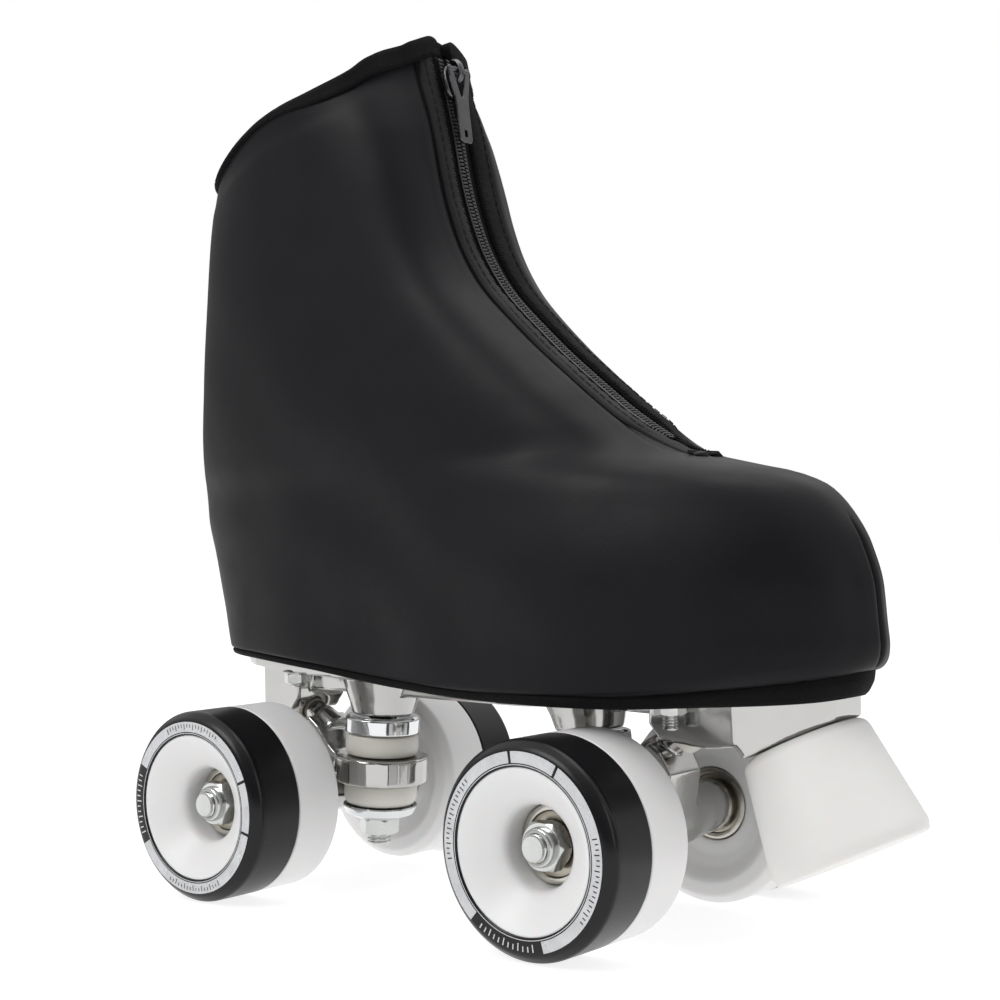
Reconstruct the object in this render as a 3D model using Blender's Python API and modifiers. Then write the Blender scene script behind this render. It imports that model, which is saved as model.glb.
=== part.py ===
"""Quad roller skate: a laced boot in a zipped fabric cover, on a plate with two steering trucks.

Units are metres, +Z is up, +X points to the toe. Lengths below are millimetres times MM.
Run with: blender --background --python part.py
"""
import math

import bmesh
import bpy
import numpy as np
from mathutils import Matrix, Vector

MM = 0.001
OBJECT_NAME = "quad_roller_skate"

# ---------------------------------------------------------------- driving sizes
ORIGIN_X = -15.4            # where the point midway between the axles stands, from the object's centre
GAP = 0.3                   # clearance kept between neighbouring pieces
WHEELBASE = 133.1
WHEEL_RADIUS = 30.0
WHEEL_WIDTH = 38.0
WHEEL_SIDES = 24            # one flat side stands on the floor
WHEEL_INNER_Y = 25.8        # inner face of a wheel, from the middle plane
COLOUR_SPLIT = 19.3         # width of the white half of a wheel
AXLE_X = WHEELBASE / 2
AXLE_Z = WHEEL_RADIUS * math.cos(math.pi / WHEEL_SIDES)
AXLE_RADIUS = 4.0
AXLE_LENGTH = 125.2
BORE_RADIUS = 4.35          # clearance bore over an 8 mm axle or kingpin

BEARING_RADIUS = 10.8
BEARING_WIDTH = 7.0
INNER_BEARING_H = 9.3       # middle of each bearing, from the wheel's inner face
OUTER_BEARING_H = 20.2

KINGPIN_LEAN = math.radians(4)
KINGPIN_TOP = (43.0, 54.6)  # where the kingpin leaves the plate, for the front truck
PIVOT_TIP = (80.5, 57.0)    # centre of the pivot cup, for the front truck
RING_Z = 36.5               # middle of the hanger ring

SOLE_THICKNESS = 6.0
BOARD_THICKNESS = 3.0
FOOTBED_THICKNESS = 4.0
PLATE_FLANGE = 4.0
PLATE_HALF_WIDTH = 21.0
BOLT_XS = {"front": 83.5, "rear": -66.5}
BOLT_Y = 16.5
BOLT_TIPS = {"front": 12.7, "rear": 9.6}     # how far each bolt's end is below the sole

STOP_TOP = (117.0, 55.0)    # centre of the toe stop's upper face
STOP_TILT = math.radians(25.2)
STOP_HEIGHT = 33.6

COVER_THICKNESS = 1.5
BOOT_INSET = 4.4            # from the cover's outer face to the boot's
BOOT_THICKNESS = 3.5
TONGUE_INSET = BOOT_INSET + BOOT_THICKNESS + 1.2
ZIP_SLIDER_Z = 259.0
ZIP_LEAN = math.radians(11.3)   # of the zip line at the slider, from upright
PULL_LIFT = 5.7             # from the cover's face to the pull's hinge
PULL_LEAN = math.radians(7.0)   # of the pull as it rests on the zip, from upright
LACE_ROWS = 7
LACE_INSET = 3.2
AROUND = 36                 # points around a cover ring

# ---------------------------------------------------------------- boot outlines, in millimetres
# (height, x) of the front and back of the cover in the middle plane, from the hem to the cuff
FRONT_LINE = ((66, 134.6), (72, 137.6), (78, 139.6), (84, 140.6), (98, 139.8), (110, 136.4), (119, 131.2),
              (126, 124), (130.3, 113), (133.3, 99), (137.2, 82.5), (147, 64.5), (157, 51), (174, 30.5),
              (193, 11.8), (208, 3.2), (226, -2.6), (245, -6.4), (262, -10.3), (277, -14))
BACK_LINE = ((66, -103), (82, -107.6), (96, -111.3), (108, -114.5), (122, -118.5), (142, -119.5),
             (166, -116.5), (205, -110.8), (232, -105.3), (246, -99.5), (277, -87))
# (x, half width) of the sole's plan, and (height, half width) of the shaft
SOLE_WIDTH = ((-116, 30), (-80, 32), (-30, 33), (20, 38.5), (65, 43.5), (105, 41.5), (143, 33))
SHAFT_WIDTH = ((66, 31), (120, 33), (150, 35), (200, 35), (277, 35.5))
# (x, height) of the sole's underside, of the cover's hem, which hangs below it, and of its cuff
SOLE_LINE = ((-120, 76.6), (-85, 75), (-66, 73.4), (-51, 72.3), (-20, 71.2), (36, 70.6), (83, 71.2),
             (109, 71.8), (133, 72.6), (150, 74))
HEM_LINE = ((-120, 74.8), (-85, 74.3), (-51, 72.3), (-7, 68.4), (36, 66.7), (77, 66.6), (109, 67.6),
            (133, 68.2), (150, 70))
CUFF_LINE = ((-120, 229.5), (-100, 232.5), (-86, 237), (-70, 245.2), (-60, 249.7), (-50, 253), (-40, 255.4),
             (-32, 258), (-25, 261.4), (-20, 265.4), (-13, 269.2), (-2, 270.2))
CUFF_PEAK = 5.5             # rise of the cuff at the top of the zip
CUFF_PEAK_REACH = 20.0
# (height, exponent) of how square the front and the back of a level ring are
FRONT_SQUARENESS = ((66, 2.4), (95, 2.35), (120, 2.3), (135, 2.6), (158, 4.2), (222, 4.3), (240, 3.4),
                    (250, 2.7), (260, 2.15), (277, 2.0))
BACK_SQUARENESS = ((66, 2.9), (110, 2.8), (150, 2.4), (277, 2.3))


def smooth_line(knots):
    """A function through (position, value) knots that never overshoots them."""
    xs = np.array([knot[0] for knot in knots], float)
    ys = np.array([knot[1] for knot in knots], float)
    slopes = np.diff(ys) / np.diff(xs)
    tangents = np.zeros(len(xs))
    tangents[0], tangents[-1] = slopes[0], slopes[-1]
    for i in range(1, len(xs) - 1):
        if slopes[i - 1] * slopes[i] > 0:
            tangents[i] = 2 / (1 / slopes[i - 1] + 1 / slopes[i])

    def value(x):
        x = min(max(x, xs[0]), xs[-1])
        i = min(int(np.searchsorted(xs, x, side="right")) - 1, len(xs) - 2)
        h = xs[i + 1] - xs[i]
        t = (x - xs[i]) / h
        return float((2 * t**3 - 3 * t**2 + 1) * ys[i] + (t**3 - 2 * t**2 + t) * h * tangents[i]
                     + (3 * t**2 - 2 * t**3) * ys[i + 1] + (t**3 - t**2) * h * tangents[i + 1])

    return value


front_x = smooth_line(FRONT_LINE)
back_x = smooth_line(BACK_LINE)
sole_width = smooth_line(SOLE_WIDTH)
shaft_width = smooth_line(SHAFT_WIDTH)
sole_z = smooth_line(SOLE_LINE)
hem_z = smooth_line(HEM_LINE)
cuff_z = smooth_line(CUFF_LINE)
front_squareness = smooth_line(FRONT_SQUARENESS)
back_squareness = smooth_line(BACK_SQUARENESS)


def blend(low, high, x):
    """0 below low, 1 above high, and smooth between."""
    t = min(max((x - low) / (high - low), 0), 1)
    return t * t * (3 - 2 * t)


def cover_at(angle, z):
    """The cover's outer face at an angle around it (0 is the toe side) and a height."""
    front, back = front_x(z), back_x(z)
    middle, reach = (front + back) / 2, (front - back) / 2
    cos, sin = math.cos(angle), math.sin(angle)
    roundness = back_squareness(z) + (front_squareness(z) - back_squareness(z)) * blend(-0.3, 0.7, cos)
    x = middle + reach * math.copysign(abs(cos) ** (2 / roundness), cos)
    width = sole_width(x) + (shaft_width(z) - sole_width(x)) * blend(100, 165, z)
    return Vector((x, width * math.copysign(abs(sin) ** (2 / roundness), sin), z))


def cover_point(angle, z, inset=0.0):
    """A point on the cover's outer face, moved in (or, below zero, out) along its normal."""
    step = 0.02
    around = cover_at(angle + step, z) - cover_at(angle - step, z)
    up = cover_at(angle, z + 0.4) - cover_at(angle, z - 0.4)
    return cover_at(angle, z) - around.cross(up).normalized() * inset


def front_angle(y, z):
    """The angle at which the front of the cover is y to one side."""
    low, high = 0.0, math.pi / 2
    for _ in range(24):
        middle = (low + high) / 2
        if cover_at(middle, z).y < abs(y):
            low = middle
        else:
            high = middle
    return math.copysign(low, y)


def cuff_height(angle):
    """The height of the cuff's edge, which peaks at the top of the zip."""
    edge = cover_at(angle, 258)
    peak = max(0, 1 - (edge.y / CUFF_PEAK_REACH) ** 2) ** 2 if math.cos(angle) > 0 else 0
    return cuff_z(edge.x) + CUFF_PEAK * peak


def foot_height(angle, line=sole_z):
    """The height of the sole's underside, or of the hem, below a point of the cover."""
    return line(cover_at(angle, 76).x)


# ---------------------------------------------------------------- building helpers
for old in list(bpy.data.objects):
    bpy.data.objects.remove(old)
parts = bpy.data.collections.new(OBJECT_NAME)
cutters = bpy.data.collections.new("cutters")
root = bpy.data.objects.new("skate_root", None)


def material(name, colour, roughness, metallic=0.0):
    made = bpy.data.materials.new(name)
    made.use_nodes = True
    shader = made.node_tree.nodes["Principled BSDF"]
    shader.inputs["Base Color"].default_value = (*colour, 1)
    shader.inputs["Roughness"].default_value = roughness
    shader.inputs["Metallic"].default_value = metallic
    made.diffuse_color = (*colour, 1)
    return made


def inside(at, parent):
    """A place in the skate's own millimetres, as a location under an unturned parent."""
    location = Vector(at) * MM
    while parent is not root:
        location -= parent.location
        parent = parent.parent
    return location


def empty(name, at, parent):
    """A parent at a joint."""
    made = bpy.data.objects.new(name, None)
    made.empty_display_size = 0.01
    parts.objects.link(made)
    made.parent = parent
    made.location = inside(at, parent)
    return made


def place(made, finish, at=(0, 0, 0), turn=(0, 0, 0), parent=root):
    """Adds an object to the parts, at a place in the skate's own millimetres."""
    parts.objects.link(made)
    made.data.materials.append(finish)
    made.parent = parent
    made.location = inside(at, parent)
    made.rotation_euler = turn
    if made.type == "MESH":
        made.data.shade_smooth()
    return made


def mesh_object(name, points, faces):
    mesh = bpy.data.meshes.new(name)
    mesh.from_pydata([Vector(point) * MM for point in points], [], faces)
    mesh.update()
    return bpy.data.objects.new(name, mesh)


def turned(name, profile, sides, closed=True):
    """A shape turned about local Z. The (radius, height) profile runs down its outer side."""
    count = len(profile)
    edges = [(i, (i + 1) % count) for i in range(count if closed else count - 1)]
    mesh = bpy.data.meshes.new(name)
    mesh.from_pydata([(r * MM, 0, h * MM) for r, h in profile], edges, [])
    made = bpy.data.objects.new(name, mesh)
    screw = made.modifiers.new("turn", "SCREW")
    screw.steps = screw.render_steps = sides
    screw.use_merge_vertices = True
    screw.merge_threshold = 0.00001
    screw.use_smooth_shade = False
    return made


def rod(name, radius, low, high, sides):
    return turned(name, ((0, high), (radius, high), (radius, low), (0, low)), sides, closed=False)


def box(name, size, bevel=0.0):
    mesh = bpy.data.meshes.new(name)
    shape = bmesh.new()
    bmesh.ops.create_cube(shape, size=1)
    bmesh.ops.scale(shape, vec=Vector(size) * MM, verts=shape.verts)
    shape.to_mesh(mesh)
    shape.free()
    made = bpy.data.objects.new(name, mesh)
    if bevel:
        rounding = made.modifiers.new("rounding", "BEVEL")
        rounding.width = bevel * MM
        rounding.segments = 2
    return made


def baked(made, *tools):
    """The object as a plain mesh, with its modifiers applied and its tools removed."""
    for each in (made, *tools):
        bpy.context.scene.collection.objects.link(each)
    view = bpy.context.evaluated_depsgraph_get()
    mesh = bpy.data.meshes.new_from_object(made.evaluated_get(view))
    name = made.name
    for each in (made, *tools):
        bpy.data.objects.remove(each)
    mesh.name = name
    return bpy.data.objects.new(name, mesh)


def hexagon(name, across_flats, low, high, bore=0.0):
    """A hexagonal nut about local Z, or a bolt head where there is no bore."""
    mesh = bpy.data.meshes.new(name)
    shape = bmesh.new()
    bmesh.ops.create_cone(shape, cap_ends=True, segments=6, radius1=across_flats / math.sqrt(3) * MM,
                          radius2=across_flats / math.sqrt(3) * MM, depth=(high - low) * MM)
    bmesh.ops.translate(shape, vec=(0, 0, (high + low) / 2 * MM), verts=shape.verts)
    shape.to_mesh(mesh)
    shape.free()
    made = bpy.data.objects.new(name, mesh)
    if not bore:
        return made
    hole = rod("nut_bore", bore, low - 1, high + 1, 12)
    cut(made, hole)
    return baked(made, hole)


def flat_outline(name, outline, half_thickness):
    """A closed (x, z) outline, thickened to both sides of the middle plane, as a mesh."""
    curve = bpy.data.curves.new(name, "CURVE")
    curve.dimensions = "2D"
    curve.fill_mode = "BOTH"
    curve.extrude = half_thickness * MM
    spline = curve.splines.new("POLY")
    spline.points.add(len(outline) - 1)
    for point, (x, z) in zip(spline.points, outline):
        point.co = (x * MM, z * MM, 0, 1)
    spline.use_cyclic_u = True
    made = baked(bpy.data.objects.new(name, curve))
    mesh = made.data
    mesh.transform(Matrix.Rotation(math.pi / 2, 4, "X"))
    shape = bmesh.new()
    shape.from_mesh(mesh)
    bmesh.ops.remove_doubles(shape, verts=shape.verts, dist=0.00001)
    bmesh.ops.recalc_face_normals(shape, faces=shape.faces)
    shape.to_mesh(mesh)
    shape.free()
    return made


def cutter(made, at=(0, 0, 0), turn=(0, 0, 0)):
    """Keeps a shape that another is cut by or joined with, in its own collection."""
    cutters.objects.link(made)
    made.parent = root
    made.location = Vector(at) * MM
    made.rotation_euler = turn
    made.hide_render = True
    made.display_type = "WIRE"
    return made


def cut(made, tool, operation="DIFFERENCE"):
    step = made.modifiers.new(operation.lower(), "BOOLEAN")
    step.operation = operation
    step.object = tool
    step.solver = "EXACT"


def join(made, tool):
    cut(made, tool, "UNION")


def skin(name, rows, thickness, closed):
    """An open grid of points, thickened outward or inward. A closed grid wraps around."""
    count = len(rows[0])
    last = count if closed else count - 1
    faces = []
    for i in range(len(rows) - 1):
        for j in range(last):
            k = (j + 1) % count
            faces.append((i * count + j, i * count + k, (i + 1) * count + k, (i + 1) * count + j))
    made = mesh_object(name, [point for row in rows for point in row], faces)
    solid = made.modifiers.new("thickness", "SOLIDIFY")
    solid.thickness = thickness * MM
    solid.offset = -1
    solid.use_even_offset = True
    return made


# ---------------------------------------------------------------- boot and cover
COVER_LEVELS = (66, 71, 78, 87, 97, 107, 116, 123, 128, 131.2, 133.8, 136.8, 141, 148, 157, 167, 177, 187,
                197, 207, 217, 228, 246, 262, 277)
BOOT_LEVELS = (66, 74, 88, 102, 114, 123, 128.5, 132.5, 136.5, 144, 156, 168, 180, 192, 204, 216, 229, 252,
               277)


def shell_rows(levels, inset, foot_line, foot_rise, cuff_drop, around):
    """Rings of a shell from its foot to the cuff, both of which follow their own lines."""
    rows = []
    for level in levels:
        row = []
        for j in range(around):
            angle = 2 * math.pi * j / around
            foot = foot_height(angle, foot_line) + foot_rise
            cuff = cuff_height(angle) - cuff_drop
            z = level + (foot - 66) * max(0, 1 - (level - 66) / 46)
            z += (cuff - 277) * max(0, (level - 181) / 96)
            row.append(cover_point(angle, z, inset))
        rows.append(row)
    return rows


def slab(name, inset, low_rise, high_rise):
    """A sheet that fills the boot's plan, between two heights above the sole's underside."""
    columns = 18
    points, faces = [], []
    for j in range(columns + 1):
        angle = math.pi * j / columns
        foot = foot_height(angle)
        for rise in (low_rise, high_rise):
            edge = cover_point(angle, foot + rise, inset)
            for side in (1, -1):
                points.append((edge.x, side * edge.y, sole_z(edge.x) + rise))
    for j in range(columns):
        a, b = 4 * j, 4 * j + 4
        faces += [(a, a + 1, b + 1, b), (a + 2, b + 2, b + 3, a + 3),
                  (a, b, b + 2, a + 2), (a + 1, a + 3, b + 3, b + 1)]
    made = mesh_object(name, points, faces)
    shape = bmesh.new()
    shape.from_mesh(made.data)
    bmesh.ops.remove_doubles(shape, verts=shape.verts, dist=0.00001)
    bmesh.ops.recalc_face_normals(shape, faces=shape.faces)
    shape.to_mesh(made.data)
    shape.free()
    return made


def front_strip(name, y_low, y_high, columns, z_high, z_low, rows, lift, thickness):
    """A strip that lies along the zip line of the cover, lifted off it and thickened outward."""
    grid = []
    for i in range(rows + 1):
        z = z_high + (z_low - z_high) * i / rows
        row = []
        for j in range(columns + 1):
            y = y_low + (y_high - y_low) * j / columns
            row.append(cover_point(front_angle(y, z), z, -lift - thickness))
        grid.append(row)
    return skin(name, grid[::-1], thickness, closed=False)


def make_boot():
    black_cloth = material("black_stretch_fabric", (0.012, 0.012, 0.013), 0.62)
    tape = material("black_binding_tape", (0.008, 0.008, 0.008), 0.85)
    leather = material("boot_leather", (0.55, 0.52, 0.48), 0.5)
    lining = material("padded_lining", (0.42, 0.40, 0.38), 0.9)
    lace = material("lace_cord", (0.6, 0.6, 0.58), 0.85)
    rubber = material("outsole_rubber", (0.02, 0.02, 0.02), 0.7)
    board = material("insole_board", (0.35, 0.24, 0.14), 0.8)
    coil = material("zip_coil", (0.02, 0.02, 0.022), 0.45)
    chrome = material("zip_metal", (0.62, 0.63, 0.65), 0.25, 1.0)

    place(skin("boot_cover", shell_rows(COVER_LEVELS, 0, hem_z, 0, 0, AROUND), COVER_THICKNESS, True),
          black_cloth)
    upper = skin("boot_upper", shell_rows(BOOT_LEVELS, BOOT_INSET, sole_z, SOLE_THICKNESS + GAP, 8, 28),
                 BOOT_THICKNESS, True)
    throat = flat_outline("throat_cut", ((-26, 290), (6, 290), (8, 215), (20, 197), (56, 162), (64, 152),
                                         (52, 138), (36, 150), (4, 178), (-14, 208), (-20, 250)), 8)
    cut(upper, cutter(throat))
    place(upper, leather)
    place(front_strip("tongue", -14, 14, 6, 258, 152, 10, -TONGUE_INSET - 3.5, 3.5), lining)

    place(slab("outsole", COVER_THICKNESS + 1.1, 0, SOLE_THICKNESS), rubber)
    place(slab("insole_board", BOOT_INSET + BOOT_THICKNESS + 1.5, SOLE_THICKNESS + GAP,
               SOLE_THICKNESS + GAP + BOARD_THICKNESS), board)
    place(slab("footbed", BOOT_INSET + BOOT_THICKNESS + 2.0, SOLE_THICKNESS + 2 * GAP + BOARD_THICKNESS,
               SOLE_THICKNESS + 2 * GAP + BOARD_THICKNESS + FOOTBED_THICKNESS), lining)
    make_laces(lace)
    make_bindings(tape)
    make_zip(tape, coil, chrome)


def make_laces(finish):
    """One lace that crosses the throat in rows, between the boot and its cover."""
    route = []
    for i in range(LACE_ROWS):
        z = 248 - 14.5 * i
        row = [cover_point(front_angle(y, z), z, LACE_INSET) for y in (-13, -6.5, 0, 6.5, 13)]
        route += row if i % 2 == 0 else row[::-1]
    curve = bpy.data.curves.new("laces", "CURVE")
    curve.dimensions = "3D"
    curve.bevel_depth = 0.75 * MM
    curve.bevel_resolution = 1
    curve.use_fill_caps = True
    spline = curve.splines.new("POLY")
    spline.points.add(len(route) - 1)
    for point, corner in zip(spline.points, route):
        point.co = (*(corner * MM), 1)
    place(bpy.data.objects.new("laces", curve), finish)


def make_bindings(finish):
    """Tape over the cuff, the hem and both edges of the zip."""
    cuff_rows, hem_rows = [], []
    cuff_lift, lift, thickness, width = 1.0, 0.6, 0.8, 9.0
    for step in range(3):
        row = []
        for j in range(37):
            angle = 0.62 + (2 * math.pi - 1.24) * j / 36
            z = cuff_height(angle) - width * (1 - step / 2) - 0.2
            row.append(cover_point(angle, z, -cuff_lift - thickness))
        cuff_rows.append(row)
        row = []
        for j in range(AROUND):
            angle = 2 * math.pi * j / AROUND
            z = foot_height(angle, hem_z) + 0.2 + 5 * step / 2
            row.append(cover_point(angle, z, -lift - thickness))
        hem_rows.append(row)
    place(skin("cuff_binding", cuff_rows, thickness, False), finish)
    place(skin("hem_binding", hem_rows, thickness, True), finish)
    binding = front_strip("zip_binding", 6.6, 12.5, 2, 270, 136.8, 20, lift, thickness)
    join(binding, cutter(front_strip("right_binding", -12.5, -6.6, 2, 270, 136.8, 20, lift, thickness)))
    lower = front_strip("lower_binding", -8, 8, 4, 138.7, 136.7, 3, lift + 0.03, thickness - 0.06)
    join(binding, cutter(lower))
    place(binding, finish)


def zip_place(rise, lift):
    """A point in the middle plane, up the zip from the slider's middle and out from the cover's face."""
    face = front_x(ZIP_SLIDER_Z)
    return (face - rise * math.sin(ZIP_LEAN) + lift * math.cos(ZIP_LEAN), 0,
            ZIP_SLIDER_Z + rise * math.cos(ZIP_LEAN) + lift * math.sin(ZIP_LEAN))


def make_zip(tape, coil, chrome):
    place(front_strip("zip_tape", -6.2, 6.2, 4, 270, 139.5, 20, 0.5, 0.5), tape)
    place(front_strip("zip_teeth", -2, 2, 2, 268, 140.5, 20, 1.3, 0.7), coil)
    along, across = (0, -ZIP_LEAN, 0), (math.pi / 2, 0, 0)
    slider = empty("zip_slider_frame", zip_place(0, 3.3), root)
    body = box("zip_slider", (1.8, 8.4, 11), 0.5)
    pivot = zip_place(3.5, PULL_LIFT)
    join(body, cutter(box("slider_bridge", (3.6, 2.2, 5)), zip_place(3.5, 5.4), along))
    cut(body, cutter(rod("bridge_eye", 1.3, -3, 3, 12), pivot, across))
    place(body, chrome, zip_place(0, 3.3), along, slider)
    hinge = empty("zip_pull_frame", pivot, slider)
    half = [(1.0, -9.3), (3.7, 1.0), (5.0, 1.0), (3.4, -9.8), (3.1, -23.0), (2.5, -23.8)]
    pull = flat_outline("zip_pull", half + [(-y, z) for y, z in half[::-1]], 0.6)
    pull.data.transform(Matrix.Rotation(math.pi / 2, 4, "Z"))
    rest = (0, -PULL_LEAN, 0)
    join(pull, cutter(rod("pull_bar", 0.8, -4.6, 4.6, 12), pivot, across))
    hole_drop = 21.0
    hole = (pivot[0] + hole_drop * math.sin(PULL_LEAN), 0, pivot[2] - hole_drop * math.cos(PULL_LEAN))
    cut(pull, cutter(box("pull_hole", (4, 2.4, 3.4)), hole, rest))
    place(pull, chrome, pivot, rest, hinge)


# ---------------------------------------------------------------- plate and toe stop
def plate_band(depth, low_x, high_x, steps=18):
    """An outline from just above the sole's underside, where it is trimmed, down by depth."""
    xs = np.linspace(low_x, high_x, steps)
    top = [(float(x), sole_z(float(x)) + 1) for x in xs]
    bottom = [(float(x), sole_z(float(x)) - GAP - depth) for x in xs[::-1]]
    return top + bottom


def along_pivot(distance):
    """A point on the front truck's steering axis, at a distance from the pivot cup's centre."""
    ring_x = KINGPIN_TOP[0] + (KINGPIN_TOP[1] - RING_Z) * math.tan(KINGPIN_LEAN)
    run = Vector((PIVOT_TIP[0] - ring_x, 0, PIVOT_TIP[1] - RING_Z)).normalized()
    return Vector((PIVOT_TIP[0], 0, PIVOT_TIP[1])) + run * distance


def pivot_turn(end):
    """Turns local Z onto the steering axis of the front (1) or rear (-1) truck, outward and up."""
    run = along_pivot(1) - along_pivot(0)
    return (0, end * math.atan2(run.x, run.z), 0)


def mirrored(point, end):
    return (point[0] * end, point[1], point[2])


def along_stop(height):
    """A point on the toe stop's stem axis, above (or below) the stop's upper face."""
    return (STOP_TOP[0] - height * math.sin(STOP_TILT), 0, STOP_TOP[1] + height * math.cos(STOP_TILT))


def make_plate():
    aluminium = material("polished_aluminium", (0.72, 0.72, 0.73), 0.22, 1.0)
    zinc = material("zinc_plated_steel", (0.6, 0.62, 0.64), 0.32, 1.0)
    plate = flat_outline("plate", plate_band(PLATE_FLANGE, -97, 133), PLATE_HALF_WIDTH + 4)
    nose = [(104, 72), (104, 55.5), (107.5, 52), (130.5, 62.8), (131, 73)]
    join(plate, cutter(flat_outline("plate_nose", nose, 24)))
    half_plan = [(-93, 10), (-89.5, 17), (-82, PLATE_HALF_WIDTH), (95, PLATE_HALF_WIDTH), (102, 18.5),
                 (117, 16), (130.5, 8)]
    plan = flat_outline("plate_plan", half_plan + [(x, -y) for x, y in half_plan[::-1]], 30)
    cut(plate, cutter(plan, (0, 0, 72), (math.pi / 2, 0, 0)), "INTERSECT")
    spine = [(-88, 73), (-88, 62), (-30, 61), (20, 60.5), (52, 61.5), (92, 60), (106, 56), (106, 70),
             (60, 68.4), (0, 68.6), (-50, 70)]
    join(plate, cutter(flat_outline("plate_spine", spine, 5)))
    for end in (1, -1):
        top = sole_z(end * KINGPIN_TOP[0]) - KINGPIN_TOP[1]
        boss_profile = ((0, top), (16.5, top), (11.8, 5), (10.4, 0), (0, 0))
        boss = turned("kingpin_boss", boss_profile, 24, closed=False)
        join(plate, cutter(boss, (end * KINGPIN_TOP[0], 0, KINGPIN_TOP[1]), (0, -end * KINGPIN_LEAN, 0)))
        roof = sole_z(end * 84) - 2
        block = [(72, roof), (72, 59), (75.5, 54.5)]
        block += [(91, 52.8), (105, 54.3), (108, roof)] if end == 1 else [(89, 53.4), (89, roof)]
        join(plate, cutter(flat_outline("pivot_block", [(end * x, z) for x, z in block], 11)))
    for end in (1, -1):
        pin = rod("kingpin_bore", BORE_RADIUS, -30, 7.6, 16)
        cut(plate, cutter(pin, (end * KINGPIN_TOP[0], 0, KINGPIN_TOP[1]), (0, -end * KINGPIN_LEAN, 0)))
        pocket = rod("cup_pocket", 6.3, -30, 4.6, 20)
        cut(plate, cutter(pocket, mirrored(along_pivot(0), end), pivot_turn(end)))
    cut(plate, cutter(rod("stem_bore", 8.2, -10, 30, 20), along_stop(0), (0, -STOP_TILT, 0)))
    xs = np.linspace(-100, 145, 20)
    above = [(float(x), sole_z(float(x)) - GAP) for x in xs] + [(145, 110), (-100, 110)]
    cut(plate, cutter(flat_outline("sole_clearance", above, 60)))
    for x in BOLT_XS.values():
        for side in (1, -1):
            hole = rod("bolt_hole", 2.9, 40, 100, 12)
            cutter(hole, (x, side * BOLT_Y, 0))
            cut(plate, hole)
            for name in ("outsole", "insole_board"):
                cut(bpy.data.objects[name], hole)
    place(plate, aluminium)
    make_bolts(zinc)
    make_toe_stop(zinc)


def make_bolts(finish):
    """Bolts through board, sole and plate, each one solid with its nut under the plate."""
    for label, x in BOLT_XS.items():
        base = sole_z(x)
        for side, side_name in ((1, "left"), (-1, "right")):
            bolt = rod(f"{label}_{side_name}_bolt", 2.5, base - BOLT_TIPS[label],
                       base + SOLE_THICKNESS + BOARD_THICKNESS, 12)
            join(bolt, cutter(hexagon("bolt_nut", 8.0, base - 8.4, base - PLATE_FLANGE - 0.7),
                              (x, side * BOLT_Y, 0)))
            place(bolt, finish, (x, side * BOLT_Y, 0))


def make_toe_stop(zinc):
    rubber = material("white_stop_rubber", (0.82, 0.82, 0.8), 0.55)
    frame = empty("toe_stop_frame", along_stop(0), root)
    frame.rotation_euler = (0, -STOP_TILT, 0)
    profile = ((0, -16.3), (8.2, -16.3), (8.2, 0), (14.5, 0), (17.0, -1.2), (18.6, -3.8), (22.8, -28.5),
               (21.8, -32), (16.5, -STOP_HEIGHT), (0, -STOP_HEIGHT))
    turned_part("toe_stop", profile, 28, rubber, frame, closed=False)
    stem = ((0, 9.6), (6.9, 9.6), (7.8, 8.6), (7.8, -16), (0, -16))
    turned_part("toe_stop_stem", stem, 16, zinc, frame, closed=False)


def turned_part(name, profile, sides, finish, frame, h=0.0, closed=True):
    """A turned piece that sits in a joint's frame, on its axis."""
    made = turned(name, profile, sides, closed)
    parts.objects.link(made)
    made.data.materials.append(finish)
    made.parent = frame
    made.location = (0, 0, h * MM)
    return made


# ---------------------------------------------------------------- trucks and wheels
def kingpin_at(z):
    return KINGPIN_TOP[0] + (KINGPIN_TOP[1] - z) * math.tan(KINGPIN_LEAN)


def make_hanger(name, end):
    """The casting that carries the axle: cross tube, web, cushion ring and pivot pin."""
    web = [(50, 33.5), (50, 39.5), (57, 40.6), (61, 44), (66, 50), (70, 53), (74, 50.5), (77.5, 44),
           (75, 29), (70, 22.5), (63.5, 22.5), (59, 33)]
    hanger = flat_outline(name, [(end * x, z) for x, z in web], 8.5)
    tube = turned("cross_tube", ((0, 30.2), (8.2, 30.2), (8.3, 22), (9.6, 11), (9.6, -11), (8.3, -22),
                                 (8.2, -30.2), (0, -30.2)), 20, closed=False)
    join(hanger, cutter(tube, (end * AXLE_X, 0, AXLE_Z), (math.pi / 2, 0, 0)))
    seat = (end * kingpin_at(RING_Z), 0, RING_Z)
    lean = (0, -end * KINGPIN_LEAN, 0)
    join(hanger, cutter(rod("cushion_ring", 15.8, -4.3, 4.3, 28), seat, lean))
    pin_profile = ((0, 3.1), (2.4, 2.7), (3.9, 0.8), (3.9, -9), (4.5, -11), (4.5, -18), (0, -18))
    pin = turned("pivot_pin", pin_profile, 16, closed=False)
    join(hanger, cutter(pin, mirrored(along_pivot(0), end), pivot_turn(end)))
    cut(hanger, cutter(rod("ring_hole", 6.4, -8, 8, 16), seat, lean))
    cut(hanger, cutter(rod("axle_bore", BORE_RADIUS, -40, 40, 16), (end * AXLE_X, 0, AXLE_Z),
                       (math.pi / 2, 0, 0)))
    return hanger


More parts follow.
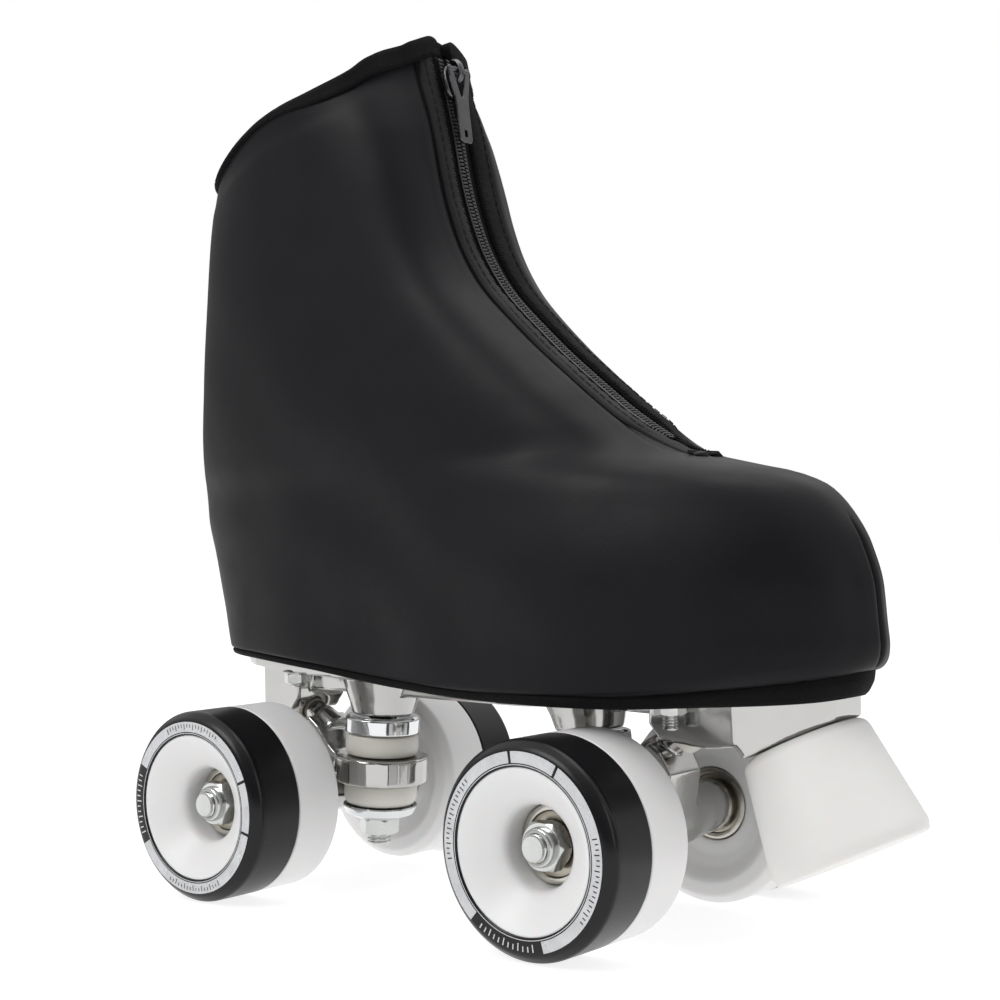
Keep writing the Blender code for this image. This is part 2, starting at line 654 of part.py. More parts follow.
def make_truck(label, end, finishes):
    """One steering truck: what stays on the plate, and the hanger with its axle and wheels."""
    lean = (0, -end * KINGPIN_LEAN, 0)

    def on_kingpin(made, z, finish):
        made.name = label + "_" + made.name
        place(made, finish, (end * kingpin_at(z), 0, z), lean)

    kingpin = ((0, 50.4), (4, 50.4), (4, 0), (0, 0))
    on_kingpin(turned("kingpin", kingpin, 16, closed=False), 11.2, finishes["steel"])
    upper_cap = ((11.2, 2.9), (12.5, 1.7), (12.5, -2.9), (4.6, -2.9), (4.6, 2.9))
    on_kingpin(turned("upper_retainer", upper_cap, 28), 51.3, finishes["chrome"])
    upper_ring = ((11.8, 3.45), (12.1, 0), (11.8, -3.45), (5, -3.45), (5, 3.45))
    on_kingpin(turned("upper_cushion", upper_ring, 28), 44.6, finishes["cushion"])
    lower_ring = ((11.8, 3.6), (12.2, 0), (11.6, -3.6), (5, -3.6), (5, 3.6))
    on_kingpin(turned("lower_cushion", lower_ring, 28), 28.2, finishes["cushion"])
    lower_cap = ((12.2, 2.1), (11.4, -0.4), (8, -2.1), (4.6, -2.1), (4.6, 2.1))
    on_kingpin(turned("lower_retainer", lower_cap, 28), 22.2, finishes["chrome"])
    on_kingpin(hexagon("kingpin_nut", 11.5, -2.6, 2.6, 4.35), 17.2, finishes["steel"])

    cup_profile = ((0, 4.3), (6.0, 4.3), (6.0, -4.4), (4.3, -4.4), (4.3, 3.5), (0, 3.5))
    cup = turned(label + "_pivot_cup", cup_profile, 20, closed=False)
    place(cup, finishes["cushion"], mirrored(along_pivot(0), end), pivot_turn(end))

    steer = empty(label + "_truck_frame", (end * kingpin_at(RING_Z), 0, RING_Z), root)
    hanger = make_hanger(label + "_hanger", end)
    place(hanger, finishes["aluminium"], parent=steer)
    axle = rod(label + "_axle", AXLE_RADIUS, -AXLE_LENGTH / 2, AXLE_LENGTH / 2, 16)
    place(axle, finishes["steel"], (end * AXLE_X, 0, AXLE_Z), (math.pi / 2, 0, 0), steer)
    for side, side_name in ((1, "left"), (-1, "right")):
        nut = hexagon(f"{label}_{side_name}_axle_nut", 13, 25.0, 33.2, BORE_RADIUS)
        place(nut, finishes["steel"], (end * AXLE_X, side * WHEEL_INNER_Y, AXLE_Z),
              (-side * math.pi / 2, 0, 0), steer)
        make_wheel(steer, f"{label}_{side_name}", end, side, finishes)


def make_wheel(steer, label, end, side, finishes):
    """A two-colour wheel on two bearings. Local Z runs outward along the axle from the inner face."""
    frame = empty(label + "_wheel_frame", (end * AXLE_X, side * WHEEL_INNER_Y, AXLE_Z), steer)
    frame.rotation_euler = (-side * math.pi / 2, math.pi / WHEEL_SIDES, 0)
    radius, width, split = WHEEL_RADIUS, WHEEL_WIDTH, COLOUR_SPLIT
    core = ((22.4, 37.2), (22.4, split), (radius, split), (radius, 2.6), (radius - 2.6, 0), (23, 0),
            (12.4, 5.2), (11.2, 5.6), (11.2, 13.1), (9.2, 13.1), (9.2, 16.4), (11.2, 16.4), (11.2, 24.3),
            (12.3, 30.9), (20.4, 36.4))
    turned_part(label + "_wheel_core", core, WHEEL_SIDES, finishes["white"], frame)
    tyre = ((radius - 2.6, width), (radius, width - 2.6), (radius, split + GAP), (22.7, split + GAP),
            (22.7, width - 0.7), (23.4, width))
    turned_part(label + "_wheel_tyre", tyre, WHEEL_SIDES, finishes["black"], frame)
    for place_name, h in (("inner", INNER_BEARING_H), ("outer", OUTER_BEARING_H)):
        bearing = ((BEARING_RADIUS, h + BEARING_WIDTH / 2), (BEARING_RADIUS, h - BEARING_WIDTH / 2),
                   (BORE_RADIUS, h - BEARING_WIDTH / 2), (BORE_RADIUS, h + BEARING_WIDTH / 2))
        turned_part(f"{label}_{place_name}_bearing", bearing, 16, finishes["steel"], frame)


def make_trucks():
    finishes = {
        "aluminium": bpy.data.materials["polished_aluminium"],
        "steel": bpy.data.materials["zinc_plated_steel"],
        "chrome": material("chromed_steel", (0.75, 0.76, 0.78), 0.08, 1.0),
        "cushion": material("cream_urethane", (0.78, 0.72, 0.58), 0.4),
        "white": material("white_urethane", (0.8, 0.79, 0.76), 0.35),
        "black": material("black_urethane", (0.012, 0.012, 0.012), 0.25),
    }
    for label, end in (("front", 1), ("rear", -1)):
        make_truck(label, end, finishes)


def main():
    bpy.context.scene.collection.children.link(parts)
    bpy.context.scene.collection.children.link(cutters)
    parts.objects.link(root)
    root.location = (ORIGIN_X * MM, 0, 0)
    make_boot()
    make_plate()
    make_trucks()


main()
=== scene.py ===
"""Looks of the quad roller skate: a zipped black boot cover over polished trucks and two-colour wheels.

Lengths below are millimetres in the boot's own frame, whose zero is midway between the axles, on the floor.
"""
import math

import bmesh
import bpy
import numpy as np
from mathutils import Matrix, Vector


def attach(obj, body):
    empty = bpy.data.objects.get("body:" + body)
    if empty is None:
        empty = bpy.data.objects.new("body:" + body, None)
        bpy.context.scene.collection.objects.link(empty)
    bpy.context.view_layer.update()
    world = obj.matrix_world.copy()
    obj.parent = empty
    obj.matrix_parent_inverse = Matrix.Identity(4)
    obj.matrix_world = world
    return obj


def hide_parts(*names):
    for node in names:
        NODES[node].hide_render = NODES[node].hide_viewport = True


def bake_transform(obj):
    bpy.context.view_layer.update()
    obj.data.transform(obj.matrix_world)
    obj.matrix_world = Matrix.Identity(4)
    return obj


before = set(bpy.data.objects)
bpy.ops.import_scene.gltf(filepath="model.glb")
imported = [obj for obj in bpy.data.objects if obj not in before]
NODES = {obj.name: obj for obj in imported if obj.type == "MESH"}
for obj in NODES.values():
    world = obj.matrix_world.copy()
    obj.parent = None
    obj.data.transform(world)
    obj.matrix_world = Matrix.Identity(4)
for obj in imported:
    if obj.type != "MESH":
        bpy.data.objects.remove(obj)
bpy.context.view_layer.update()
MM = 0.001
ORIGIN = np.array((-15.4, 0, 0))


def link(made):
    bpy.context.scene.collection.objects.link(made)
    return made


# ---------------------------------------------------------------- camera, light and floor
def look_at(at, target):
    return (Vector(target) - Vector(at)).to_track_quat("-Z", "Y").to_matrix().to_4x4()


CAMERA_AT = (0.3433, -0.4250, 0.1183)
CAMERA_FORWARD, CAMERA_UP = Vector((-0.6349, 0.7725, 0.0118)), Vector((0.0223, 0.0030, 0.9997))
LENS, SENSOR_WIDTH = 62.6, 36


def make_camera():
    camera = link(bpy.data.objects.new("camera", bpy.data.cameras.new("camera")))
    camera.data.lens, camera.data.sensor_width = LENS, SENSOR_WIDTH
    right = CAMERA_FORWARD.cross(CAMERA_UP).normalized()
    turn = Matrix((right, right.cross(CAMERA_FORWARD), -CAMERA_FORWARD)).transposed().to_4x4()
    camera.matrix_world = Matrix.Translation(CAMERA_AT) @ turn
    bpy.context.scene.camera = camera


def softbox(name, at, size, power):
    """A rectangular lamp turned to the middle of the skate."""
    data = bpy.data.lights.new(name, "AREA")
    data.shape, data.size, data.size_y = "RECTANGLE", *size
    data.energy, data.spread = power, math.pi
    link(bpy.data.objects.new(name, data)).matrix_world = Matrix.Translation(at) @ look_at(at, (0, 0, 0.12))


def add_node(tree, kind, inputs, output=0, **settings):
    """Adds a node, with values or links for its inputs, and gives one of its outputs."""
    node = tree.nodes.new("ShaderNode" + kind)
    for name, value in settings.items():
        setattr(node, name, value)
    for socket, value in inputs.items():
        if isinstance(value, bpy.types.NodeSocket):
            tree.links.new(value, node.inputs[socket])
        else:
            node.inputs[socket].default_value = value
    return node.outputs[output]


def room_shade(tree, source, low, high):
    """A soft step from the room's darkest side to full light, as source goes from low to high."""
    return add_node(tree, "MapRange", {"Value": source, "From Min": low, "From Max": high, "To Min": 0.24,
                                       "To Max": 1.0}, interpolation_type="SMOOTHSTEP")


def make_world():
    """White behind the skate, and a greyer room behind the camera, which the metal reflects."""
    world = bpy.data.worlds.new("studio")
    bpy.context.scene.world = world
    world.use_nodes = True
    tree = world.node_tree
    room = tree.nodes["Background"]
    direction = add_node(tree, "TexCoord", {}, "Generated")
    away = add_node(tree, "VectorMath", {0: direction, 1: (-0.60, 0.73, 0.33)}, "Value",
                    operation="DOT_PRODUCT")
    height = add_node(tree, "SeparateXYZ", {"Vector": direction}, "Z")
    tree.links.new(room_shade(tree, away, -0.55, 0.25), room.inputs["Color"])
    tree.links.new(room_shade(tree, height, 0.08, 0.55), room.inputs["Strength"])
    # the background that shows in the picture is plain white
    seen = add_node(tree, "Background", {"Color": (1, 1, 1, 1)})
    mix = add_node(tree, "MixShader", {"Fac": add_node(tree, "LightPath", {}, "Is Camera Ray"),
                                       1: room.outputs["Background"], 2: seen})
    tree.links.new(mix, tree.nodes["World Output"].inputs["Surface"])


def make_studio():
    make_world()
    softbox("key", (-0.35, -1.15, 1.2), (0.8, 0.8), 10.5)
    softbox("top", (0.15, 0.1, 1.4), (1.1, 0.7), 5)
    softbox("toe_side", (1.25, -0.25, 0.5), (0.4, 0.8), 2)
    bpy.context.scene.view_settings.view_transform = "Standard"
    disc = bpy.data.meshes.new("floor")
    shape = bmesh.new()
    bmesh.ops.create_circle(shape, cap_ends=True, segments=96, radius=6)
    shape.to_mesh(disc)
    shape.free()
    floor = link(bpy.data.objects.new("floor", disc))
    floor.location = (0, 0, -0.0004)    # just under the wheels, so the two never share a plane
    # it glows a little, so it is as white as the background
    surface("pale_floor", (0.3, 0.3, 0.3), 0.9, spread=0.01, bump=0.02, grain=40,
            emission_color=(1, 1, 1, 1), emission_strength=0.84)
    disc.materials.append(FINISH["pale_floor"])


# ---------------------------------------------------------------- materials
FINISH = {}


def surface(name, colour, roughness, metallic=0.0, spread=0.08, grain=300.0, bump=0.1, bump_depth=0.0002,
            rough_spread=0.06, pattern=None, **sockets):
    """Makes a Principled finish whose colour, roughness and height vary with noise at the given grain."""
    made = bpy.data.materials.new(name)
    made.use_nodes = True
    tree = made.node_tree
    shader = tree.nodes["Principled BSDF"]
    shader.inputs["Metallic"].default_value = metallic
    for socket, value in sockets.items():
        shader.inputs[socket.replace("_", " ").title().replace("Ior", "IOR")].default_value = value
    place = add_node(tree, "TexCoord", {}, "Object")

    def noise(scale, detail=3.0):
        return add_node(tree, "TexNoise", {"Scale": scale, "Detail": detail, "Vector": place}, "Fac")

    ramp = tree.nodes.new("ShaderNodeValToRGB")
    for element, share, at in zip(ramp.color_ramp.elements, (1 - spread, 1 + spread), (0.3, 0.7)):
        element.position = at
        element.color = (*(min(1, c * share) for c in colour), 1)
    tree.links.new(noise(grain / 8, 5), ramp.inputs["Fac"])
    low, high = roughness - rough_spread, roughness + rough_spread
    rough = add_node(tree, "MapRange", {"Value": noise(grain / 5), "From Min": 0.3, "From Max": 0.7,
                                        "To Min": low, "To Max": high})
    bumps = add_node(tree, "Bump", {"Strength": bump, "Distance": bump_depth,
                                    "Height": pattern(tree, place, noise) if pattern else noise(grain)})
    for source, socket in ((ramp.outputs["Color"], "Base Color"), (rough, "Roughness"), (bumps, "Normal")):
        tree.links.new(source, shader.inputs[socket])
    FINISH[name] = made


def math_node(tree, operation, first, second):
    return add_node(tree, "Math", {0: first, 1: second}, operation=operation)


def bands(tree, place, direction, pitch):
    """Ridges across one axis, with a pitch in millimetres."""
    return add_node(tree, "TexWave", {"Scale": 0.314 / (pitch * MM), "Distortion": 0.6, "Detail": 1,
                                      "Vector": place}, "Fac", bands_direction=direction)


def knit(pitch, courses=1.15):
    """Fine stitches of a knitted cloth: ribs along both sides and courses up the height."""
    def pattern(tree, place, noise):
        ribbing = math_node(tree, "ADD", bands(tree, place, "X", pitch), bands(tree, place, "Y", pitch))
        rows = bands(tree, place, "Z", pitch * courses)
        weave = math_node(tree, "MULTIPLY", math_node(tree, "MULTIPLY", ribbing, 0.5), rows)
        return math_node(tree, "ADD", weave, math_node(tree, "MULTIPLY", noise(90, 4), 1.6))
    return pattern


def dots(pitch):
    """A close pattern of raised dots."""
    def pattern(tree, place, _noise):
        return add_node(tree, "TexVoronoi", {"Scale": 1 / (pitch * MM), "Randomness": 0.15, "Vector": place},
                        "Distance")
    return pattern


def ribs(direction, pitch):
    """The ribs of a woven cord, with its fibres."""
    def pattern(tree, place, noise):
        return math_node(tree, "ADD", bands(tree, place, direction, pitch),
                         math_node(tree, "MULTIPLY", noise(500), 0.6))
    return pattern


def make_finishes():
    surface("cover_fabric", (0.0027, 0.0026, 0.0042), 0.5, grain=220, spread=0.1, bump=0.16,
            bump_depth=0.0001, pattern=knit(0.46), sheen_weight=0.022, sheen_roughness=0.4,
            specular_ior_level=0.2)
    surface("strip_fabric", (0.0042, 0.0041, 0.0046), 0.62, grain=260, spread=0.16, bump=0.5,
            bump_depth=0.00012, pattern=knit(0.5), sheen_weight=0.05, sheen_roughness=0.5,
            specular_ior_level=0.24)
    surface("binding_tape", (0.0028, 0.0028, 0.0030), 0.8, grain=400, spread=0.2, bump=0.8,
            pattern=knit(0.45, 0.9), sheen_weight=0.02, sheen_roughness=0.5, specular_ior_level=0.12)
    surface("thread", (0.0038, 0.0038, 0.0042), 0.7, grain=1500, bump=0.5, specular_ior_level=0.14)
    surface("zip_coil", (0.035, 0.035, 0.038), 0.3, grain=900, bump=0.05)
    surface("zip_metal", (0.12, 0.12, 0.125), 0.28, 1.0, grain=900, spread=0.12, bump=0.15,
            bump_depth=0.00008)
    surface("boot_leather", (0.55, 0.52, 0.48), 0.5, grain=900, bump=0.35)
    surface("padded_lining", (0.42, 0.40, 0.38), 0.92, grain=500, bump=0.8, pattern=knit(1.1),
            sheen_weight=0.2)
    surface("lace_cord", (0.6, 0.6, 0.58), 0.85, grain=700, bump=0.8, pattern=ribs("Y", 0.9))
    surface("insole_board", (0.35, 0.24, 0.14), 0.8, grain=600, bump=0.3)
    surface("outsole_rubber", (0.02, 0.02, 0.02), 0.7, grain=500, bump=0.4, pattern=dots(1.6))
    surface("polished_aluminium", (0.5, 0.495, 0.485), 0.15, 1.0, grain=60, spread=0.05, rough_spread=0.05,
            bump=0.3, bump_depth=0.001)
    surface("cream_urethane", (0.74, 0.72, 0.66), 0.42, grain=200, spread=0.04, bump=0.1,
            subsurface_weight=0.15, subsurface_scale=0.002)
    surface("chromed_steel", (0.72, 0.73, 0.74), 0.1, 1.0, grain=300, spread=0.04, rough_spread=0.03,
            bump=0.08)
    surface("zinc_steel", (0.58, 0.59, 0.58), 0.24, 1.0, grain=700, spread=0.1, bump=0.15)
    surface("bearing_steel", (0.55, 0.53, 0.48), 0.2, 1.0, grain=500, spread=0.06, bump=0.05)
    surface("bearing_shield", (0.40, 0.37, 0.31), 0.3, 1.0, grain=500, spread=0.1, bump=0.1)
    surface("nylon", (0.5, 0.5, 0.47), 0.5, grain=500, bump=0.1)
    surface("white_urethane", (0.78, 0.775, 0.775), 0.36, grain=120, spread=0.02, bump=0.05,
            subsurface_weight=0.12, subsurface_scale=0.003)
    surface("black_urethane", (0.006, 0.006, 0.007), 0.27, grain=150, spread=0.15, bump=0.06,
            bump_depth=0.0001, specular_ior_level=0.28)
    surface("black_tread", (0.007, 0.007, 0.008), 0.33, grain=150, spread=0.15, bump=0.25,
            bump_depth=0.00012, pattern=dots(0.62), specular_ior_level=0.3)
    surface("ring_print", (0.56, 0.565, 0.58), 0.3, 0.25, grain=1800, spread=0.1, bump=0.25,
            bump_depth=0.00008)
    surface("white_rubber", (0.77, 0.76, 0.745), 0.58, grain=260, spread=0.03, bump=0.25,
            subsurface_weight=0.1, subsurface_scale=0.003)


# ---------------------------------------------------------------- building helpers
# the two sides: the sign of y, and the side's name
SIDES = ((1, "left"), (-1, "right"))


def register(made, finish, body, *replaces):
    """Gives a piece its finish, the body it rides, if just one, and the CAD nodes it stands for."""
    if made.name not in bpy.context.scene.collection.objects:
        link(made)
    made.data.materials.clear()
    made.data.materials.append(FINISH[finish])
    if body:
        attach(made, body)
    if replaces:
        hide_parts(*replaces)
    return made


def mesh_object(name, points, faces, sharp=None, local=False):
    """points are millimetres in the boot's frame, or with local in the object's own."""
    data = bpy.data.meshes.new(name)
    placed = np.asarray(points, float).reshape(-1, 3)
    placed = (placed if local else placed + ORIGIN) * MM
    data.from_pydata(placed.tolist(), [], faces)
    made = bpy.data.objects.new(name, data)
    shape = bmesh.new()
    shape.from_mesh(data)
    bmesh.ops.recalc_face_normals(shape, faces=shape.faces)
    shape.to_mesh(data)
    shape.free()
    data.shade_smooth()
    if sharp is not None:
        data.set_sharp_from_angle(angle=math.radians(sharp))
    return made


def grid_faces(rows, columns, wrap_rows=False, wrap_columns=False):
    """The four-cornered faces of a grid of points numbered row by row."""
    row = np.arange(rows if wrap_rows else rows - 1)[:, None]
    column = np.arange(columns if wrap_columns else columns - 1)[None, :]
    next_row, next_column = (row + 1) % rows, (column + 1) % columns
    corners = (row * columns + column, row * columns + next_column,
               next_row * columns + next_column, next_row * columns + column)
    faces = np.stack([np.broadcast_to(c, (row.size, column.size)) for c in corners], -1)
    return faces.reshape(-1, 4).tolist()


def loft(name, grid, wrap_columns, sharp=None):
    """A closed solid from section loops: rows run around the section, columns along the piece."""
    rows, columns = grid.shape[:2]
    faces = grid_faces(rows, columns, True, wrap_columns)
    if not wrap_columns:
        faces.append([r * columns for r in range(rows)])
        faces.append([r * columns + columns - 1 for r in range(rows)])
    return mesh_object(name, grid, faces, sharp)


def rounded(profile, radius, steps=4, closed=False):
    """A (radius, height) outline with its corners rounded."""
    points = [np.array(p, float) for p in profile]
    out = []
    for i, corner in enumerate(points):
        if not closed and i in (0, len(points) - 1):
            out.append(corner)
            continue
        before, after = points[i - 1] - corner, points[(i + 1) % len(points)] - corner
        reach = min(radius, 0.45 * np.linalg.norm(before), 0.45 * np.linalg.norm(after))
        start = corner + before / np.linalg.norm(before) * reach
        end = corner + after / np.linalg.norm(after) * reach
        for t in np.linspace(0, 1, steps + 1):
            out.append((1 - t) ** 2 * start + 2 * t * (1 - t) * corner + t * t * end)
    return np.array(out)


def axis_frame(at, direction, roll=0.0):
    """A frame at a point of the boot's frame, with Z along a direction."""
    turn = Vector(direction).normalized().to_track_quat("Z", "X").to_matrix().to_4x4()
    return Matrix.Translation((np.array(at, float) + ORIGIN) * MM) @ turn @ Matrix.Rotation(roll, 4, "Z")


def turned(name, profile, placed, sides=96, closed=True, sharp=32, radii=None):
    """A solid of revolution of a (radius, height) outline. radii may reshape it by angle and height."""
    profile = np.asarray(profile, float)
    angles = np.arange(sides) * 2 * math.pi / sides
    radius, height = profile[:, :1], profile[:, 1:]
    if radii is not None:
        radius = radii(angles[None, :], height, radius)
    else:
        radius = np.broadcast_to(radius, (len(profile), sides))
    grid = np.stack([radius * np.cos(angles), radius * np.sin(angles),
                     np.broadcast_to(height, radius.shape)], -1)
    faces = grid_faces(len(profile), sides, closed, True)
    if not closed:
        faces += [list(range(sides)), [(len(profile) - 1) * sides + j for j in range(sides)]]
    made = mesh_object(name, grid, faces, sharp, local=True)
    made.matrix_world = placed
    return made


def hexagon_radii(across, chamfer, low, high):
    """Radii of a nut: six flats, with both ends turned down to a cone."""
    def radii(angle, height, radius):
        sector = (angle + math.pi / 6) % (math.pi / 3) - math.pi / 6
        flats = across / 2 / np.cos(sector)
        edge = np.minimum(height - low, high - height)
        cone = across / 2 + (edge + 0.001) / math.tan(math.radians(30)) * 0.9
        outside = np.minimum(flats, np.where(edge < chamfer, cone, np.inf))
        return np.where(radius < 0.72 * across / 2, radius, outside)
    return radii


def nut(name, across, low, high, bore, placed):
    """A hexagon nut, across its flats, between two heights."""
    chamfer, steps = 0.09 * across, 7
    tall, face = high - low, across * 0.34 + 0.4
    rise = np.concatenate([np.linspace(0, chamfer, steps), np.linspace(tall - chamfer, tall, steps)])
    profile = [(bore, low), (face, low)] + [(across, low + h) for h in rise] + [(face, high), (bore, high)]
    return turned(name, profile, placed, 96, radii=hexagon_radii(across, chamfer, low, high), sharp=25)


def ring(name, outline, radius, steps, placed, finish, body, *replaces, sides=64):
    """A turned ring with a closed section, its corners rounded."""
    register(turned(name, rounded(outline, radius, steps, True), placed, sides), finish, body, *replaces)


def square_section(inner, outer, low, high):
    return (inner, low), (outer, low), (outer, high), (inner, high)


def threaded(name, radius, low, high, thread_low, thread_high, placed, pitch=1.25, depth=0.3, tip=0.5):
    """A bar with a thread cut between two heights and chamfered ends."""
    heights = [low, low + tip]
    if thread_low > low + tip:
        heights += [thread_low - 0.01]
    heights += list(np.arange(thread_low, thread_high, pitch / 8)) + [high - tip, high]
    heights = np.array(sorted(set(h for h in heights if low <= h <= high)))

    def radii(angle, height, _radius):
        phase = (height / pitch - angle / (2 * math.pi)) % 1
        cut = depth * (1 - np.abs(2 * phase - 1)) * 2
        cut = np.minimum(cut, depth * 1.4)
        inside = (height > thread_low) & (height < thread_high)
        end = np.minimum(height - low, high - height)
        chamfer = np.maximum(0, tip - end) * 0.9
        return radius - np.where(inside, cut, 0) - chamfer
    profile = [(radius, h) for h in heights]
    return turned(name, profile, placed, 40, closed=False, radii=radii, sharp=40)


def capsules(name, starts, ends, radius, sides=6):
    """Many short round-ended bars, as one mesh."""
    starts, ends = np.asarray(starts, float), np.asarray(ends, float)
    run = ends - starts
    length = np.linalg.norm(run, axis=1, keepdims=True)
    run = run / length
    other = np.cross(run, np.where(np.abs(run[:, 2:]) > 0.9, (1.0, 0, 0), (0, 0, 1.0)))
    other /= np.linalg.norm(other, axis=1, keepdims=True)
    third = np.cross(run, other)
    rings = [(starts, 0.0, 0.35), (starts, 0.35, 0.85), (starts, 1.0, 1.0),
             (ends, -1.0, 1.0), (ends, -0.35, 0.85), (ends, 0.0, 0.35)]
    points = []
    for base, step, share in rings:
        for k in range(sides):
            a = 2 * math.pi * k / sides
            points.append(base + run * radius * step
                          + (other * math.cos(a) + third * math.sin(a)) * radius * share)
    points = np.stack(points, 1)
    faces = []
    per = len(rings) * sides
    pattern = grid_faces(len(rings), sides, False, True)
    pattern += [list(range(sides)), list(range(per - sides, per))]
    for i in range(len(starts)):
        faces += [[i * per + v for v in face] for face in pattern]
    return mesh_object(name, points, faces)


def tube(name, centres, radius, sides=10, flat=1.0, wide=None):
    """A tube through points; flat squeezes it across the direction given by wide."""
    centres = np.asarray(centres, float)
    run = np.gradient(centres, axis=0)
    run /= np.linalg.norm(run, axis=1, keepdims=True)
    wide = np.broadcast_to(np.array((0, 0, 1.0)) if wide is None else wide, centres.shape)
    side = np.cross(run, wide)
    side /= np.linalg.norm(side, axis=1, keepdims=True)
    across = np.cross(side, run)
    angles = 2 * math.pi * np.arange(sides) / sides
    grid = np.stack([centres + side * radius * flat * math.cos(a) + across * radius * math.sin(a)
                     for a in angles])
    return loft(name, grid, False)


def applied(source):
    """The mesh of an object with its modifiers applied. The object is removed."""
    bpy.context.view_layer.update()
    data = bpy.data.meshes.new_from_object(source.evaluated_get(bpy.context.evaluated_depsgraph_get()))
    bpy.data.objects.remove(source)
    data.shade_smooth()
    return data


def cast(node, body, voxel, passes):
    """A cast piece: the CAD solid with its edges and corners rounded over."""
    source = link(bpy.data.objects.new(node + "_rough", NODES[node].data.copy()))
    shape = bmesh.new()
    shape.from_mesh(source.data)
    bmesh.ops.remove_doubles(shape, verts=shape.verts, dist=1e-6)
    shape.to_mesh(source.data)
    shape.free()
    remesh = source.modifiers.new("remesh", "REMESH")
    remesh.mode, remesh.voxel_size, remesh.use_smooth_shade = "VOXEL", voxel * MM, True
    smooth = source.modifiers.new("smooth", "SMOOTH")
    smooth.factor, smooth.iterations = 0.5, passes
    register(bpy.data.objects.new(node + "_casting", applied(source)), "polished_aluminium", body, node)


# ---------------------------------------------------------------- the cover's shape
FRONT_LINE = ((66, 134.6), (72, 137.6), (78, 139.6), (84, 140.6), (98, 139.8), (110, 136.4), (119, 131.2),
              (126, 124), (130.3, 113), (133.3, 99), (137.2, 82.5), (147, 64.5), (157, 51), (174, 30.5),
              (193, 11.8), (208, 3.2), (226, -2.6), (245, -6.4), (262, -10.3), (277, -14))
BACK_LINE = ((66, -103), (82, -107.6), (96, -111.3), (108, -114.5), (122, -118.5), (142, -119.5),
             (166, -116.5), (205, -110.8), (232, -105.3), (246, -99.5), (277, -87))
SOLE_WIDTH = ((-116, 30), (-80, 32), (-30, 33), (20, 38.5), (65, 43.5), (105, 41.5), (143, 33))
SHAFT_WIDTH = ((66, 31), (120, 33), (150, 35), (200, 35), (277, 35.5))
SOLE_LINE = ((-120, 76.6), (-85, 75), (-66, 73.4), (-51, 72.3), (-20, 71.2), (36, 70.6), (83, 71.2),
             (109, 71.8), (133, 72.6), (150, 74))
HEM_LINE = ((-120, 74.8), (-85, 74.3), (-51, 72.3), (-7, 68.4), (36, 66.7), (77, 66.6), (109, 67.6),
            (133, 68.2), (150, 70))
CUFF_LINE = ((-120, 229.5), (-100, 232.5), (-86, 237), (-70, 245.2), (-60, 249.7), (-50, 253), (-40, 255.4),
             (-32, 258), (-25, 261.4), (-20, 265.4), (-13, 269.2), (-2, 270.2))
FRONT_SQUARENESS = ((66, 2.4), (95, 2.35), (120, 2.3), (135, 2.6), (158, 4.2), (222, 4.3), (240, 3.4),
                    (250, 2.7), (260, 2.15), (277, 2.0))
BACK_SQUARENESS = ((66, 2.9), (110, 2.8), (150, 2.4), (277, 2.3))
HEM_TAPE = ((-120, 1.2), (0, 1.6), (78, 2.5), (108, 3.7), (125, 5.0), (140, 6.6))
ZIP_END, ZIP_TOP = 138.0, 269.0     # heights of the zip's ends
FOOT_LEVEL, CUFF_LEVEL = 66, 277    # levels of the hem and the cuff, before their slant
FOOT_FADE, CUFF_FADE = 46, 96       # heights over which the slant of each dies out
STRIP_EDGES = {1: 14.8, -1: 10.8}   # how far each strip reaches from the middle of the zip


def smooth_line(knots):
    """A function through (position, value) knots that never overshoots them."""
    xs, ys = np.array(knots, float).T
    slopes = np.diff(ys) / np.diff(xs)
    tangents = np.concatenate([slopes[:1], np.zeros(len(xs) - 2), slopes[-1:]])
    same = slopes[:-1] * slopes[1:] > 0
    tangents[1:-1][same] = 2 / (1 / slopes[:-1][same] + 1 / slopes[1:][same])

    def value(x):
        x = np.clip(x, xs[0], xs[-1])
        i = np.clip(np.searchsorted(xs, x, side="right") - 1, 0, len(xs) - 2)
        h = xs[i + 1] - xs[i]
        t = (x - xs[i]) / h
        return ((2 * t**3 - 3 * t**2 + 1) * ys[i] + (t**3 - 2 * t**2 + t) * h * tangents[i]
                + (3 * t**2 - 2 * t**3) * ys[i + 1] + (t**3 - t**2) * h * tangents[i + 1])
    return value


front_x, back_x, cuff_z = smooth_line(FRONT_LINE), smooth_line(BACK_LINE), smooth_line(CUFF_LINE)
sole_width, shaft_width = smooth_line(SOLE_WIDTH), smooth_line(SHAFT_WIDTH)
sole_z, hem_z = smooth_line(SOLE_LINE), smooth_line(HEM_LINE)
front_squareness, back_squareness = smooth_line(FRONT_SQUARENESS), smooth_line(BACK_SQUARENESS)
tape_height = smooth_line(HEM_TAPE)


def blend(low, high, x):
    """0 below low, 1 above high, and a smooth step between them."""
    t = np.clip((x - low) / (high - low), 0, 1)
    return t * t * (3 - 2 * t)


def cover_at(angle, z):
    """The cover's outer face at angles around it (0 is the toe side) and heights."""
    angle, z = np.broadcast_arrays(np.asarray(angle, float), np.asarray(z, float))
    front, back = front_x(z), back_x(z)
    cos, sin = np.cos(angle), np.sin(angle)
    roundness = back_squareness(z) + (front_squareness(z) - back_squareness(z)) * blend(-0.3, 0.7, cos)
    x = (front + back) / 2 + (front - back) / 2 * np.abs(cos) ** (2 / roundness) * np.sign(cos)
    width = sole_width(x) + (shaft_width(z) - sole_width(x)) * blend(100, 165, z)
    return np.stack([x, width * np.abs(sin) ** (2 / roundness) * np.sign(sin), z], -1)


